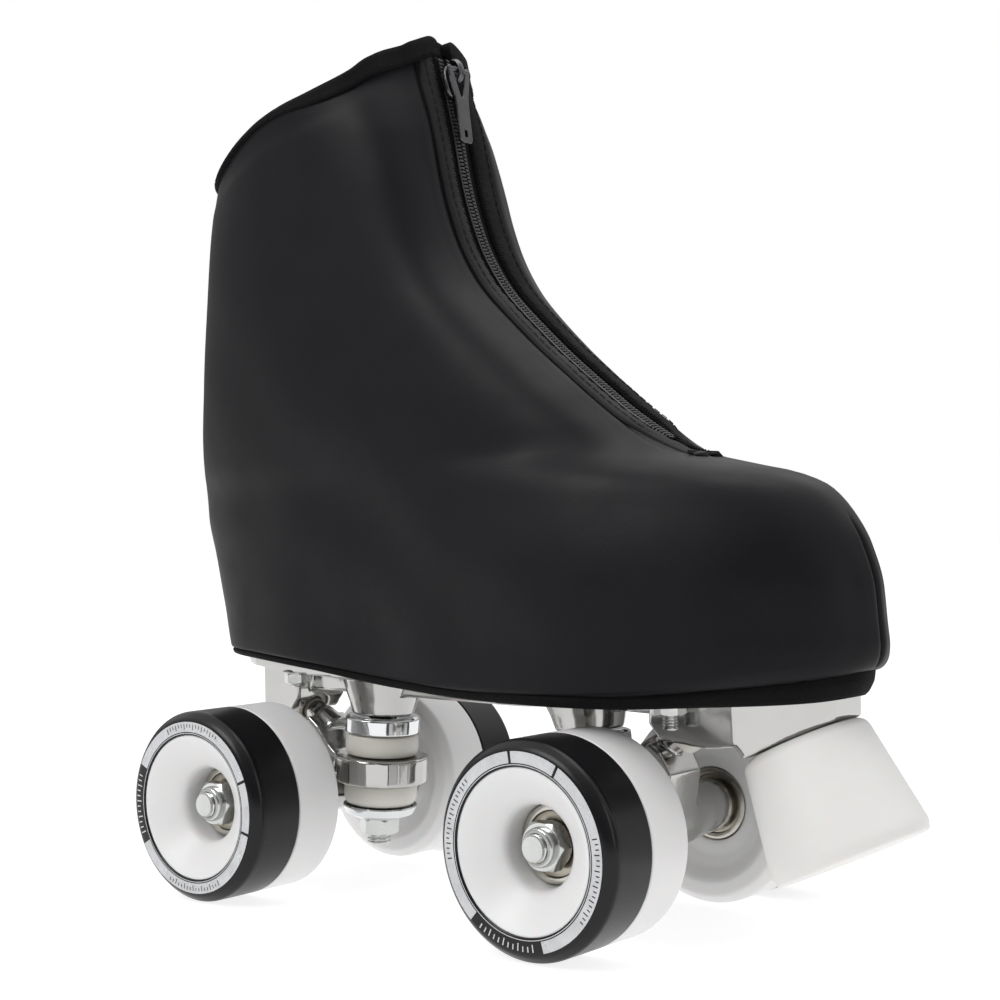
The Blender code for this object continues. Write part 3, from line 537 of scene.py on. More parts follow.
def cover_point(angle, z, inset=0.0):
    """Points on the cover's outer face, moved in along its normal."""
    around = cover_at(angle + 0.02, z) - cover_at(angle - 0.02, z)
    up = cover_at(angle, z + 0.4) - cover_at(angle, z - 0.4)
    normal = np.cross(around, up)
    normal /= np.linalg.norm(normal, axis=-1, keepdims=True)
    return cover_at(angle, z) - normal * np.asarray(inset)[..., None]


def front_angle(y, z):
    """The angle at which the front of the cover is y to one side."""
    y, z = np.broadcast_arrays(np.asarray(y, float), np.asarray(z, float))
    low, high = np.zeros(y.shape), np.full(y.shape, math.pi / 2)
    for _ in range(34):
        middle = (low + high) / 2
        below = cover_at(middle, z)[..., 1] < np.abs(y)
        low, high = np.where(below, middle, low), np.where(below, high, middle)
    return np.copysign(low, y)


def cuff_height(angle):
    """The height of the cuff, which rises to a low peak at the zip."""
    edge = cover_at(angle, 258)
    peak = np.where(np.cos(angle) > 0, np.maximum(0, 1 - (edge[..., 1] / 20) ** 2) ** 2, 0)
    return cuff_z(edge[..., 0]) + 5.5 * peak


def foot_height(angle, line=None):
    """The height of the hem, or of another line, below a point of the cover."""
    return (line or hem_z)(cover_at(angle, 76)[..., 0])


def shell_height(angle, level, foot=None, drop=0.0):
    """The height of a level between the slanted foot and cuff, or another foot and a dropped cuff."""
    foot = foot_height(angle) if foot is None else foot
    foot_slant = (foot - FOOT_LEVEL) * np.maximum(0, 1 - (level - FOOT_LEVEL) / FOOT_FADE)
    cuff_share = np.maximum(0, (level - (CUFF_LEVEL - CUFF_FADE)) / CUFF_FADE)
    return level + foot_slant + (cuff_height(angle) - drop - CUFF_LEVEL) * cuff_share


def lengths(line):
    """The length along a line up to each of its points."""
    return np.concatenate([[0], np.cumsum(np.linalg.norm(np.diff(line, axis=0), axis=1))])


def ring_angles(level, half_count, start=0.0, crowd=1.6):
    """Angles for a level's ring, evenly spaced along it but closer together at the front."""
    t = np.linspace(0, 1, 1600)
    dense = math.pi * t**3.2
    around = cover_at(dense, shell_height(dense, level))
    run = lengths(around)
    # start is how far from the middle plane it begins, found where y still rises
    first = np.interp(start, around[:900, 1], run[:900]) if start else 0.0
    share = np.linspace(0, 1, half_count + 1) ** crowd
    half = np.interp(first + (run[-1] - first) * share, run, dense)
    half[-1] = math.pi
    return half


def ring_around(level, half_count):
    """Angles of a whole ring."""
    half = ring_angles(level, half_count)
    return np.concatenate([half, 2 * math.pi - half[-2:0:-1]])


def open_ring(level, half_count, gap, crowd):
    """Angles of a ring that is open by gap on each side of the front's middle."""
    half = ring_angles(level, half_count, gap, crowd)
    return np.concatenate([half, 2 * math.pi - half[-2::-1]])


def ripple(points, seed, size):
    """Soft unevenness, in about +-1, with waves of about a given size."""
    turn = np.random.default_rng(seed).normal(size=(6, 3))
    turn /= np.linalg.norm(turn, axis=1, keepdims=True)
    phases = np.random.default_rng(seed + 1).uniform(0, 6.28, 6)
    total = 0
    for i in range(6):
        scale = 2 * math.pi / (size * (0.7 + 0.12 * i))
        total = total + np.sin(points @ turn[i] * scale + phases[i])
    return total / 6


def hem_band(angle):
    """How high the hem's tape shows below the cloth, which is most at the toe."""
    return foot_height(angle, tape_height)


def toe_share(angle):
    """0 behind the ball of the foot, 1 at the tip of the toe."""
    return blend(60, 138, cover_at(angle, 76)[..., 0])


def band_inset(angle):
    """How far the hem's tape lies inside the cloth's face."""
    return 0.3 + 1.6 * toe_share(angle)


def cover_relief(angle, z):
    """How far the cloth stands proud of the plain cover, in millimetres."""
    base = cover_at(angle, z)
    x, y = base[..., 0], base[..., 1]
    above_hem = z - foot_height(angle)
    band = hem_band(angle)
    relief = 0.45 * ripple(base, 3, 70) + 0.18 * ripple(base, 8, 26)
    front = np.cos(angle) > 0
    # the cloth rolls over the hem's tape, in a fuller round at the toe
    toe = toe_share(angle)
    rolled = np.clip((above_hem - band) / (1.1 + 4.4 * toe), 0, 1)
    step = np.sqrt(1 - (1 - rolled) ** 2)
    bulge = (0.4 + 0.3 * toe) * (1 - blend(band + 2, band + 16, above_hem))
    relief = relief * step + bulge * step - (band_inset(angle) + 1.0) * (1 - step)
    # a sunk middle seam down the toe, with the cloth rolled in on both sides
    seam = blend(75, 83, z) * (1 - blend(111, 119, z)) * front
    relief += seam * (0.22 * np.exp(-((np.abs(y) - 2.2) / 1.4) ** 2) - 1.5 * np.exp(-(y / 0.6) ** 2))
    # the bed of the zip, and a crease beside its strips
    bed = blend(ZIP_END - 3, ZIP_END + 5, z) * front
    beside = np.abs(y) - np.where(y > 0, STRIP_EDGES[1], STRIP_EDGES[-1])
    relief -= bed * (0.9 * (1 - blend(6.0, 7.5, np.abs(y))) + 0.6 * np.exp(-((beside - 0.4) / 0.7) ** 2))
    relief += bed * 0.4 * np.exp(-((beside - 3.2) / 2.2) ** 2)
    # slight folds where the ankle bends
    bend = np.exp(-(((x + 38) * 0.5 + (z - 148) * 0.5) / 26) ** 2) * blend(12, 26, np.abs(y))
    relief += bend * 0.35 * np.sin((x * 0.62 + z * 0.78) / 7.5 + 0.8 * np.sin(z / 19))
    # the cloth is drawn in under the cuff's tape
    relief -= 0.25 * blend(-12, -8, z - cuff_height(angle))
    return relief


def make_cover():
    half = 150
    outside = np.concatenate([np.linspace(FOOT_LEVEL, 69, 5), np.linspace(69.7, 84, 24),
                              np.linspace(85.2, 150, 46), np.linspace(151.8, 276.6, 62)])
    inside = np.concatenate([[CUFF_LEVEL], np.linspace(276.6, 150, 26), np.linspace(145, 67, 18),
                             [FOOT_LEVEL]])
    rows = []
    for level in outside:
        angle = ring_around(level, half)
        z = shell_height(angle, level)
        rows.append(cover_point(angle, z, -cover_relief(angle, z)))
    for level in inside:
        angle = ring_around(level, half)
        z = shell_height(angle, level)
        # the inner face is deeper behind the hem's tape and behind the zip
        depth = 1.5 + np.where(level < 85, band_inset(angle) * 0.5, 0)
        depth = depth + 0.9 * (np.abs(cover_at(angle, z)[:, 1]) < 7)
        rows.append(cover_point(angle, z, depth if level < CUFF_LEVEL else 0.8))
    register(loft("cover_cloth", np.stack(rows), True), "cover_fabric", "root", "boot_cover")


def make_cuff_tape():
    """Tape folded over the cuff, from one side of the zip round the back to the other."""
    section = rounded(((-0.1, -1.0), (-0.75, -0.98), (-1.05, -0.86), (-1.0, -0.5), (-1.1, -0.12),
                       (-0.7, 0.08), (0.9, 0.13), (2.3, 0.06), (2.9, -0.2), (2.9, -0.8), (2.5, -0.86),
                       (2.4, -0.3), (2.0, -0.12)), 0.12, 2, True)
    angle = open_ring(276, 150, 2.6, 1.25)
    edge = cover_at(angle, 262)
    run = lengths(edge)
    width = 1.3 + 5.2 * blend(-64, -9, edge[:, 0])
    # its ends round down to the zip
    end = np.clip(1 - np.minimum(run, run[-1] - run) / 4.2, 0, 1)
    rounding = 2.8 * (1 - np.sqrt(1 - 0.98 * end ** 2))
    over_zip = 1.5 * (1 - blend(13.2, 16, np.abs(edge[:, 1]))) * (np.cos(angle) > 0)
    rows = []
    for inset, drop in section:
        outer = inset < 0.6
        pucker = 0.08 * np.sin(run * 2 * math.pi / 3.1) * (drop < -0.6) + 0.14 * ripple(edge, 5, 17)
        reach = 8.0 if drop > 0 else width if outer else 7.0
        z = cuff_height(angle) + drop * reach - rounding * (1 + 0.7 * drop)
        rows.append(cover_point(angle, z, inset - over_zip * outer + pucker * outer))
    register(loft("cuff_tape", np.stack(rows), False), "binding_tape", "root", "cuff_binding")
    z = cuff_height(angle) - 0.8 * width
    sew("cuff_stitches", cover_point(angle, z, -1.02 - over_zip), 2.3, 0.9, 0.14)


def make_hem_tape():
    """Tape folded under the foot of the cover, all the way round."""
    angle = ring_around(FOOT_LEVEL, 170)
    band, inset = hem_band(angle), band_inset(angle)
    section = rounded(((1.4, 1.08), (0.15, 1.0), (-0.35, 0.6), (-0.1, 0.12), (0.5, -0.08), (2.1, -0.1),
                       (2.8, 0.1), (2.8, 0.6), (2.0, 0.7)), 0.12, 2, True)
    foot = foot_height(angle)
    wave = 0.12 * ripple(cover_at(angle, 72), 9, 14)
    rows = []
    for depth, share in section:
        z = foot - 0.5 + share * (band + 0.6)
        rows.append(cover_point(angle, z, inset + depth + wave * (depth < 0.5)))
    register(loft("hem_tape", np.stack(rows), True), "binding_tape", "root", "hem_binding")
    sew("hem_stitches", cover_point(angle, foot + band * 0.66, inset - 0.18), 2.3, 0.9, 0.13)


def sew(name, line, length, gap, radius):
    """Stitches of a given length along a line, with gaps between them."""
    run = lengths(line)
    at = np.arange(0.5, run[-1] - length, length + gap)
    starts = np.stack([np.interp(at, run, line[:, k]) for k in range(3)], -1)
    ends = np.stack([np.interp(at + length, run, line[:, k]) for k in range(3)], -1)
    register(capsules(name, starts, ends, radius), "thread", "root")


def zip_heights(count, high=ZIP_TOP, low=ZIP_END):
    """Heights down the zip, evenly spaced along it."""
    z = np.linspace(high, low, 1200)
    run = lengths(cover_at(0.0, z))
    return np.interp(np.linspace(0, run[-1], count), run, z)


def zip_taper(z):
    """How far the zip's strips have closed in, from 1 along the zip to 0 at its lower end."""
    return blend(ZIP_END - 0.5, ZIP_END + 9, z)


def on_front(y, z, lift):
    """Points lifted off the front of the cover, y to one side of its middle."""
    return cover_point(front_angle(y, z), z, -np.asarray(lift) + 0 * z)


def make_zip_tape():
    z = zip_heights(150)
    width = 0.25 + 0.75 * zip_taper(z)
    section = ((6.4, -0.2), (6.4, 0.15), (3.2, 0.0), (0, -0.05), (-3.2, 0.0), (-6.4, 0.15), (-6.4, -0.2),
               (0, -0.6))
    rows = [on_front(y * width, z, lift) for y, lift in section]
    register(loft("zip_tape_cloth", np.stack(rows), False), "binding_tape", "root", "zip_tape")


def make_zip_strips():
    """The strip along each side of the zip, with its overlocked edge and its seam, and the bartack below."""
    z = zip_heights(170, ZIP_TOP + 0.4, ZIP_END - 2.4)
    open_share = zip_taper(z)
    section = ((5.3, 0.2), (5.25, 0.9), (5.6, 1.45), (6.6, 1.75), (8.4, 1.7), (10.2, 1.55), (11.0, 1.2),
               (11.6, 1.3), (12.4, 1.05), (13.1, 0.4), (13.2, -0.5), (6.2, -0.5))
    for side, side_name in SIDES:
        # the section is stretched to the strip's own edges, which close in at the zip's lower end
        inner, outer = 1.0 + 4.3 * open_share, 7.2 + (STRIP_EDGES[side] - 7.2) * open_share
        uneven = 0.14 * ripple(cover_at(0.0, z), 12 + side, 12)
        rows = []
        for y, lift in section:
            across = inner + (y - 5.3) / (13.1 - 5.3) * (outer - inner)
            wobble = 0.16 * np.sin(z * 2.1 + side) * (y < 7) + uneven
            rows.append(on_front(side * across, z, lift * (0.55 + 0.45 * open_share) + wobble * (lift > 0)))
        # painted shade: the far strip takes the darker tape finish, and the near strip takes the lighter
        # knit of the strip finish
        register(loft(f"zip_strip_{side_name}", np.stack(rows)[:, ::side], False),
                 "strip_fabric" if side < 0 else "binding_tape", "root", "zip_binding")
        y = side * (0.8 + 4.6 * open_share)
        inner_line = on_front(y, z, 1.0 + 0.5 * open_share)
        outer_line = on_front(y + side * 0.9, z, 1.45 + 0.4 * open_share)
        register(capsules(f"zip_overlock_{side_name}", inner_line[3:168], outer_line[3:168], 0.2), "thread",
                 "root")
        seam = 5.2 + (STRIP_EDGES[side] - 7.3) * open_share
        sew(f"zip_stitches_{side_name}", on_front(side * seam, z, 1.2 * open_share + 0.35), 2.4, 0.8, 0.14)
    below = ZIP_END - 2.0
    ends = cover_point(front_angle(np.array([-7.8, 7.8]), below), below, -0.75)
    start = ends[0] + (ends[1] - ends[0]) * np.linspace(0, 1, 26)[:, None]
    lean = 0.7 * np.array((0.9, 0, -0.9))
    register(capsules("zip_bartack", start - lean, start + lean, 0.32), "thread", "root")


def make_zip_coils():
    """The two rows of coils, which stand apart above the slider, and the cord that each is sewn on by."""
    opens_at = 248
    z = zip_heights(128, ZIP_TOP - 1.5, ZIP_END + 3)
    starts, stops = [], []
    closed, opened = z[z < opens_at], z[z >= opens_at]
    for heights, near, far, opening in ((closed, 0.15, 2.1, 0.0), (opened, 0.5, 2.4, 0.02)):
        for side, _side_name in SIDES:
            for high in heights:
                apart = opening * (high - opens_at)
                starts.append(on_front(side * (near + apart), high + 0.35 * side, 1.25))
                stops.append(on_front(side * (far + apart), high + 0.35 * side, 0.95))
    register(capsules("zip_coils", np.array(starts), np.array(stops), 0.42), "zip_coil", "root", "zip_teeth")
    for side, side_name in SIDES:
        cord = on_front(side * 2.15, zip_heights(140, ZIP_TOP - 1, ZIP_END + 3), 0.75)
        register(tube(f"zip_edge_cord_{side_name}", cord, 0.34, 8), "zip_coil", "root")


def plate_piece(name, outline, thickness, bevel, holes=()):
    """A flat plate from an outline in the local X-Y plane, with holes and eased edges."""
    curve = bpy.data.curves.new(name, "CURVE")
    curve.dimensions, curve.fill_mode = "2D", "BOTH"
    curve.extrude = (thickness / 2 - bevel) * MM
    curve.bevel_depth, curve.bevel_resolution = bevel * MM, 2
    for loop in (outline, *holes):
        spline = curve.splines.new("POLY")
        spline.points.add(len(loop) - 1)
        spline.use_cyclic_u = True
        for point, corner in zip(spline.points, loop):
            point.co = (corner[0] * MM, corner[1] * MM, 0, 1)
    data = applied(link(bpy.data.objects.new(name, curve)))
    data.set_sharp_from_angle(angle=math.radians(35))
    return bpy.data.objects.new(name, data)


ZIP_SLIDER_Z = 259.0    # height of the slider's middle
ZIP_LEAN, PULL_LEAN = math.radians(11.3), math.radians(7.0)


def zip_place(rise, lift):
    """A point in the middle plane, up the zip from the slider's middle and out from the cover's face."""
    return np.array((float(front_x(ZIP_SLIDER_Z)) - rise * math.sin(ZIP_LEAN) + lift * math.cos(ZIP_LEAN), 0,
                     ZIP_SLIDER_Z + rise * math.cos(ZIP_LEAN) + lift * math.sin(ZIP_LEAN)))


def facing(at, lean):
    """A frame whose X runs across the zip, Y up it and Z outward."""
    turn = Matrix(((0, 0, 1), (1, 0, 0), (0, 1, 0))).to_4x4()
    return Matrix.Translation((at + ORIGIN) * MM) @ Matrix.Rotation(-lean, 4, "Y") @ turn


def squared_oval(half_width, half_height, middle, power, count):
    """An oval between an ellipse and a box, as an outline."""
    def squared(share):
        return math.copysign(abs(share) ** power, share)
    return [(half_width * squared(math.cos(a)), middle + half_height * squared(math.sin(a)))
            for a in np.linspace(0, 2 * math.pi, count + 1)[:-1]]


def make_slider():
    body = plate_piece("slider_body", squared_oval(4.2, 5.5, 0, 0.6, 40), 1.8, 0.5)
    body.matrix_world = facing(zip_place(0, 3.3), ZIP_LEAN)
    register(body, "zip_metal", "zip_slider", "zip_slider")
    turn = np.linspace(0, math.pi, 17)
    bridge = np.stack([zip_place(3.5 - 3.7 * math.cos(a), 3.9 + 3.2 * math.sin(a) ** 0.8) for a in turn])
    register(tube("slider_bridge", bridge, 1.15, 12, 0.6, (0, 1.0, 0)), "zip_metal", "zip_slider")

    half = [(0.7, -9.1), (1.7, -6.0), (3.5, 0.9), (4.9, 1.0), (4.5, -2.5), (2.8, -9.0), (2.6, -14),
            (2.7, -22.9), (2.1, -23.8)]
    outline = rounded(half + [(-x, y) for x, y in half[::-1]], 0.6, 3, True)
    pull = plate_piece("pull_tab", outline, 1.2, 0.32, (squared_oval(0.95, 1.5, -21.0, 0.35, 24),))
    pivot = zip_place(3.5, 5.7)
    pull.matrix_world = facing(pivot, PULL_LEAN)
    register(pull, "zip_metal", "zip_pull", "zip_pull")
    bar = rounded(((0.02, -4.7), (0.8, -4.7), (0.8, 4.7), (0.02, 4.7)), 0.3, 3)
    register(turned("pull_bar", bar, axis_frame(pivot, (0, 1, 0)), 24, closed=False), "zip_metal",
             "zip_pull")


# ---------------------------------------------------------------- the boot inside
def make_boot_shell():
    """The leather boot, open down its front, with its rim rolled in at the cuff."""
    levels = np.concatenate([np.linspace(66, 140, 22), np.linspace(144, 262, 34), [268, 272, 275, 277]])
    rim = ((277, 5.0), (276.8, 6.4), (276, 8.4), (273, 10.6), (266, 11.3), (256, 10.8), (246, 9.2),
           (236, 8.0))
    lining = np.concatenate([np.linspace(228, 140, 18), np.linspace(132, 66, 12)])
    stops = [(level, 4.4 + 0.5 * blend(270, 277, level)) for level in levels]
    stops += [*rim, *((level, 7.9) for level in lining)]
    rows = []
    for level, inset in stops:
        angle = open_ring(level, 90, 0.4 + 9.2 * blend(150, 176, level), 1.2)
        z = shell_height(angle, level, foot_height(angle, sole_z) + 6.4, 8.2)
        rows.append(cover_point(angle, z, inset + 0.15 * ripple(cover_at(angle, z), 21, 30)))
    register(loft("boot_shell", np.stack(rows), False), "boot_leather", "root", "boot_upper")


def make_tongue():
    z = np.linspace(259, 152, 90)
    ends = blend(0, 4, 259 - z) * 0.85 + 0.15
    section = rounded(((-14, 10.2), (-11, 9.2), (0, 8.9), (11, 9.2), (14, 10.2), (13.4, 12.2), (9, 13.0),
                       (0, 13.3), (-9, 13.0), (-13.4, 12.2)), 1.2, 3, True)
    rows = [on_front(y * (0.9 + 0.1 * ends), z, -(11.2 + (inset - 11.2) * ends)) for y, inset in section]
    tongue = loft("tongue_pad", np.stack(rows), False)
    register(tongue, "padded_lining", "root", "tongue")


def make_laces():
    """Seven crossings of a flat lace, to one side and back."""
    route = []
    share = np.linspace(0, 1, 21)
    for i in range(7):
        across = np.linspace(-12.5, 12.5, 21) * (1 if i % 2 == 0 else -1)
        route.append(on_front(across, 248 - 14.5 * i - 7.2 * share, -3.3 + 0 * across))
    register(tube("lace_rows", np.concatenate(route), 1.9, 10, 0.32, (0.25, 0, 1.0)), "lace_cord", "root",
             "laces")


def make_soles():
    """The flat layers under the foot, each lofted from its middle out to its edge and back."""
    sides, middle = 160, np.array((12.0, 0, 0))
    angle = 2 * math.pi * np.arange(sides) / sides
    foot = foot_height(angle, sole_z)
    for name, node, finish, inset, low, high in (
            ("sole_slab", "outsole", "outsole_rubber", 2.7, 0.0, 6.0),
            ("board", "insole_board", "insole_board", 9.5, 6.3, 9.3),
            ("footbed_pad", "footbed", "padded_lining", 10.0, 9.6, 13.6)):
        rows = []
        for share, rise in rounded(((0.0, 0), (1.0, 0), (1.0, 1), (0.0, 1)), 0.12, 3):
            edge = cover_point(angle, foot + low + rise * (high - low), inset)
            spot = middle + (edge - middle) * (0.02 + 0.98 * share)
            crown = 0.9 * (1 - share) * rise * (name == "footbed_pad")
            spot[:, 2] = sole_z(spot[:, 0]) + low + rise * (high - low) + crown
            rows.append(spot)
        grid = []
        for inner, outer in zip(rows[:-1], rows[1:]):
            count = 14 if np.abs(outer - inner)[:, :2].max() > 20 else 1
            grid += [inner + (outer - inner) * t for t in np.arange(count) / count]
        grid = np.stack(grid + rows[-1:])
        faces = grid_faces(len(grid), sides, False, True)
        faces += [list(range(sides)), list(range((len(grid) - 1) * sides, len(grid) * sides))]
        register(mesh_object(name, grid, faces, 40), finish, "root", node)


# ---------------------------------------------------------------- plate, trucks and stop
KINGPIN_LEAN = math.radians(4)
PIVOT = np.array((80.5, 0, 57.0))    # the front truck's; the rear one's is as far behind
AXLE_X, AXLE_Z, WHEEL_Y = 66.55, 30 * math.cos(math.pi / 24), 25.8
STOP_TILT = math.radians(25.2)


def kingpin_frame(end, z):
    """A frame on the kingpin's leaning axis, at a height."""
    x = end * (43.0 + (54.6 - z) * math.tan(KINGPIN_LEAN))
    return axis_frame((x, 0, z), (-end * math.sin(KINGPIN_LEAN), 0, math.cos(KINGPIN_LEAN)))


def wheel_frame(end, side):
    """A frame on the axle at a wheel's inner face, with Z outward."""
    return axis_frame((end * AXLE_X, side * WHEEL_Y, AXLE_Z), (0, side, 0))


def make_plate():
    """The plate, and the four bolts that hold the boot on it, each with its nut and washer."""
    cast("plate", "root", 0.6, 6)
    for label, x, tip in (("front", 83.5, 12.7), ("rear", -66.5, 9.6)):
        base = float(sole_z(x))
        for side, side_name in SIDES:
            name, at = f"{label}_{side_name}_bolt", axis_frame((x, side * 16.5, 0), (0, 0, 1))
            bolt = threaded(f"{name}_shaft", 2.45, base - tip, base + 9, base - tip + 0.5, base - 2, at, 0.8,
                            0.22, 0.4)
            register(bolt, "zinc_steel", "root", name)
            register(nut(f"{name}_nut", 8.0, base - 8.4, base - 4.9, 2.3, at), "zinc_steel", "root")
            ring(f"{name}_washer", square_section(2.6, 5.0, base - 4.9, base - 4.35), 0.12, 2, at,
                 "zinc_steel", "root")


def make_stop():
    at = axis_frame((117.0, 0, 55.0), (-math.sin(STOP_TILT), 0, math.cos(STOP_TILT)))
    outline = rounded(((0.02, -16.3), (8.2, -16.3), (8.2, 0.9), (16.9, 0.9), (18.4, -0.8), (22.9, -30.6),
                       (21.9, -33.6), (0.02, -33.6)), 1.3, 6)
    register(turned("toe_stop_pad", outline, at, 128, closed=False, sharp=50), "white_rubber", "toe_stop",
             "toe_stop")
    stem = threaded("toe_stop_screw", 7.75, -16, 9.6, -15, 9.0, at, 1.5, 0.35, 0.6)
    register(stem, "zinc_steel", "toe_stop", "toe_stop_stem")


# what the kingpin holds: name, height, finish, section (radius, height from its middle) and corner radius
KINGPIN_RINGS = (
    ("upper_retainer", 51.3, "chromed_steel",
     ((11.2, 2.9), (12.5, 2.2), (12.5, -2.5), (12.0, -2.9), (11.4, -2.2), (4.6, -2.2), (4.6, 2.2)), 0.5),
    ("upper_cushion", 44.6, "cream_urethane",
     ((11.6, 3.6), (12.2, 1.2), (12.2, -1.4), (11.7, -3.5), (5, -3.5), (5, 3.6)), 0.9),
    ("lower_cushion", 28.2, "cream_urethane",
     ((11.9, 3.5), (12.3, 1.0), (12.1, -1.6), (11.2, -3.5), (5, -3.5), (5, 3.5)), 0.9),
    ("lower_retainer", 22.2, "chromed_steel",
     ((12.2, 2.3), (12.5, 1.8), (11.5, -0.6), (8.2, -2.1), (4.6, -2.1), (4.6, 1.6), (11.2, 1.6)), 0.45))


def make_kingpin(label, end):
    for part, z, finish, outline, radius in KINGPIN_RINGS:
        soft = part.endswith("cushion")
        at = kingpin_frame(end, z)
        made = turned(f"{label}_{part}_turned", rounded(outline, radius, 4, True), at, 112)
        register(made, finish, None if soft else "root", f"{label}_{part}")
        if soft:
            # the retainer holds one face of the rubber, and the hanger's ring tilts the other; these points
            # are found but not used, and the cushion is only baked where it stands
            reach = at.to_3x3() @ Vector((0, 0, 3.3 * MM if part == "upper_cushion" else -3.3 * MM))
            held, tilted = at.translation + reach, at.translation - reach
            tuple(held)
            tuple(tilted)
            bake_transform(made)
    pin = threaded(f"{label}_kingpin_bar", 3.95, 0, 50.4, 0.5, 14, kingpin_frame(end, 11.2), 1.25, 0.3, 0.6)
    register(pin, "zinc_steel", "root", f"{label}_kingpin")
    made = nut(f"{label}_kingpin_locknut", 11.5, -2.6, 2.6, 4.1, kingpin_frame(end, 17.2))
    register(made, "zinc_steel", "root", f"{label}_kingpin_nut")


def make_truck(label, end):
    """One truck: its kingpin, pivot cup, hanger, axle and wheels. end is 1 at the front, -1 at the rear."""
    steer = f"{label}_truck"
    make_kingpin(label, end)
    run = np.array((end * (80.5 - 43.0 - (54.6 - 36.5) * math.tan(KINGPIN_LEAN)), 0, 57.0 - 36.5))
    at = axis_frame(PIVOT * (end, 1, 1), run)
    cup = rounded(((0.02, 4.3), (6.0, 4.3), (6.0, -4.4), (4.3, -4.4), (4.3, 3.5), (0.02, 3.5)), 0.4, 3)
    register(turned(f"{label}_cup", cup, at, 64, closed=False), "cream_urethane", "root",
             f"{label}_pivot_cup")

    cast(f"{label}_hanger", steer, 0.45, 8)
    half = 58.3
    bar = rounded(((0.02, -half), (4, -half), (4, half), (0.02, half)), 0.5, 2)
    core = turned(f"{label}_axle_core", bar * (0.9, 1), axis_frame((end * AXLE_X, 0, AXLE_Z), (0, 1, 0)), 40,
                  closed=False)
    register(core, "zinc_steel", steer, f"{label}_axle")
    for side, side_name in SIDES:
        # heights here run outward along the axle, from the wheel's inner face
        name, at = f"{label}_{side_name}", wheel_frame(end, side)
        thread = threaded(f"{name}_axle_thread", 3.98, -6, 33.0, 24.0, 32.6, at, 1.0, 0.3, 0.55)
        register(thread, "zinc_steel", steer)
        register(nut(f"{name}_axle_locknut", 13, 24.4, 29.2, 4.1, at), "zinc_steel", steer,
                 f"{name}_axle_nut")
        collar = ((5.6, 29.1), (5.4, 30.7), (4.95, 31.2), (4.1, 31.2), (4.1, 29.1))
        ring(f"{name}_axle_collar", collar, 0.4, 3, at, "zinc_steel", steer)
        insert = ((4.75, 31.0), (4.75, 31.4), (4.05, 31.4), (4.05, 31.0))
        ring(f"{name}_axle_insert", insert, 0.1, 2, at, "nylon", steer)
        for part, section in (("washer", square_section(4.3, 6.6, 23.75, 24.35)),
                              ("inner_washer", square_section(4.3, 6.2, 4.45, 5.65))):
            ring(f"{name}_{part}", section, 0.2, 2, at, "bearing_steel", steer)
        make_wheel(name, end, side)


# ---------------------------------------------------------------- wheels
PRINT_TURN = {"front_right": 0.0, "rear_right": 75.0, "front_left": 20.0, "rear_left": -50.0}
FACE, PRINT_LIFT, TICK_LIFT = 38.0, 0.03, 0.05  # the tyre's outer face, and what lies on it


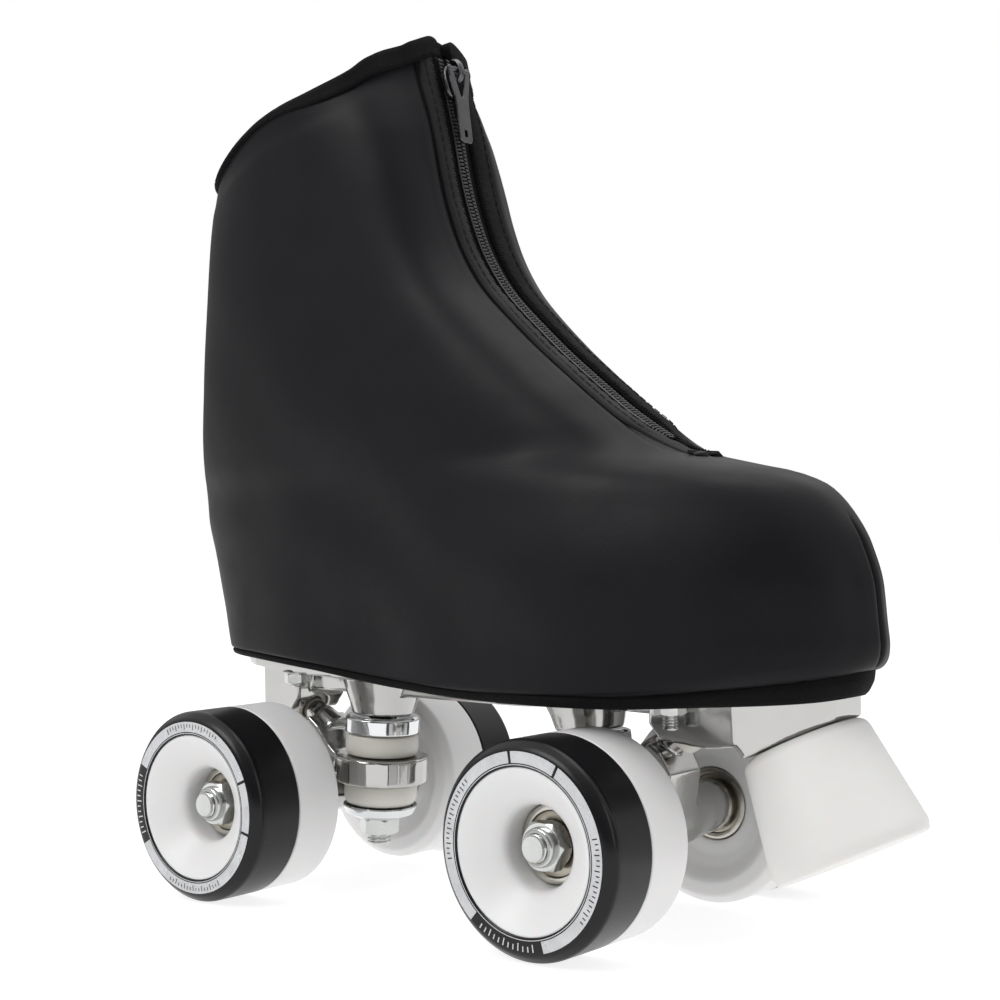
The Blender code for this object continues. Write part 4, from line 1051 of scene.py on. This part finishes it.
def make_wheel(label, end, side):
    """One wheel: white core, black tyre in two finishes, two bearings and the printed ring."""
    body, at = f"{label}_wheel", wheel_frame(end, side)
    dish = [(11.3, 24.3), (11.45, 28.6), (11.8, 30.1), (12.7, 31.2), (14.4, 32.4), (16.8, 34.0),
            (19.2, 35.7), (21.0, 37.0), (22.2, 37.6), (22.62, 37.5), (22.62, 19.5)]
    outer = [(30, 19.35), (30, 2.6), (27.4, 0.0), (23.4, 0.0), (22.3, 0.5), (19.0, 2.9), (15.6, 4.5),
             (12.4, 5.2), (11.3, 5.7), (11.3, 13.1), (9.2, 13.1), (9.2, 16.4), (11.3, 16.4)]
    core = np.concatenate([dish, rounded(dish[-1:] + outer + dish[:1], 0.9, 5)[1:-1]])
    side_wall = rounded(((30, 33.0), (30, 35.2), (27.6, 37.9), (23.0, FACE), (22.66, 37.75)), 1.5, 7)
    tread = np.concatenate([[(22.66, 19.6), (29.75, 19.6), (30, 19.9)], side_wall[:1] + (0, 0.5),
                            [(29.2, 33.5), (22.66, 33.5)]])
    wall = np.concatenate([[(22.66, 33.52), (29.2, 33.52)], side_wall[:1] + (0, 0.52), side_wall[1:]])
    for part, profile, sharp, finish, *stands in (
            ("core", core, 38, "white_urethane", f"{label}_wheel_core"),
            ("tread", tread, 30, "black_tread"),
            ("side_wall", wall, 30, "black_urethane", f"{label}_wheel_tyre")):
        register(turned(f"{label}_{part}", profile, at, 192, sharp=sharp), finish, body, *stands)
    for where, h in (("inner", 9.3), ("outer", 20.2)):
        for part, finish, inner, outer, half, *stands in (
                ("outer_race", "bearing_steel", 9.2, 11.0, 3.5, f"{label}_{where}_bearing"),
                ("shield", "bearing_shield", 6.35, 9.1, 2.9),
                ("inner_race", "bearing_steel", 4.35, 6.1, 3.5)):
            outline = ((outer, h + half), (outer, h - half), (inner, h - half), (inner, h + half))
            ring(f"{label}_{where}_{part}", outline, 0.3, 3, at, finish, body, *stands, sides=96)
    make_print(label, body, at, side)


def make_print(label, body, at, side):
    """The grey ring printed on the side wall: plain blocks with gaps between them, and dark ticks."""
    to_local = at.to_3x3().inverted()

    def sheet(name, finish, arcs, h):
        """Flat arcs, each from one angle to another, in degrees from the top, and between two radii."""
        points, faces = [], []
        for start, stop, low, high in arcs:
            count = max(2, int(abs(stop - start) / 2))
            base = len(points)
            for t in np.linspace(start, stop, count + 1):
                a = math.radians(t + PRINT_TURN[label])
                local = to_local @ Vector((side * -math.sin(a), 0, math.cos(a)))
                points += [(local.x * r, local.y * r, h) for r in (low, high)]
            faces += [(i, i + 1, i + 3, i + 2) for i in range(base, base + 2 * count, 2)]
        made = mesh_object(f"{label}_{name}", points, faces, local=True)
        made.matrix_world = at
        register(made, finish, body)

    blocks = [(start, stop, 23.75, 26.95) for start, stop in ((29.4, 164.5), (221.5, 351.6), (353.6, 387.4))]
    blocks += [(0, 360, 23.2, 23.42)]
    blocks += [(171.5 + 3.8 * i, 172.4 + 3.8 * i, 24.3 if i % 3 == 0 else 24.9, 26.4) for i in range(12)]
    sheet("print", "ring_print", blocks, FACE + PRINT_LIFT)
    ticks = [(first + 3.1 * i, first + 0.75 + 3.1 * i, 24.5 if i % 3 == 0 else 25.1, 26.2)
             for first in (76, 260) for i in range(18)]
    sheet("print_ticks", "black_urethane", ticks, FACE + TICK_LIFT)


for make in (make_finishes, make_camera, make_studio, make_cover, make_cuff_tape, make_hem_tape,
             make_zip_tape, make_zip_strips, make_zip_coils, make_slider, make_boot_shell, make_tongue,
             make_laces, make_soles, make_plate, make_stop):
    make()
make_truck("front", 1)
make_truck("rear", -1)
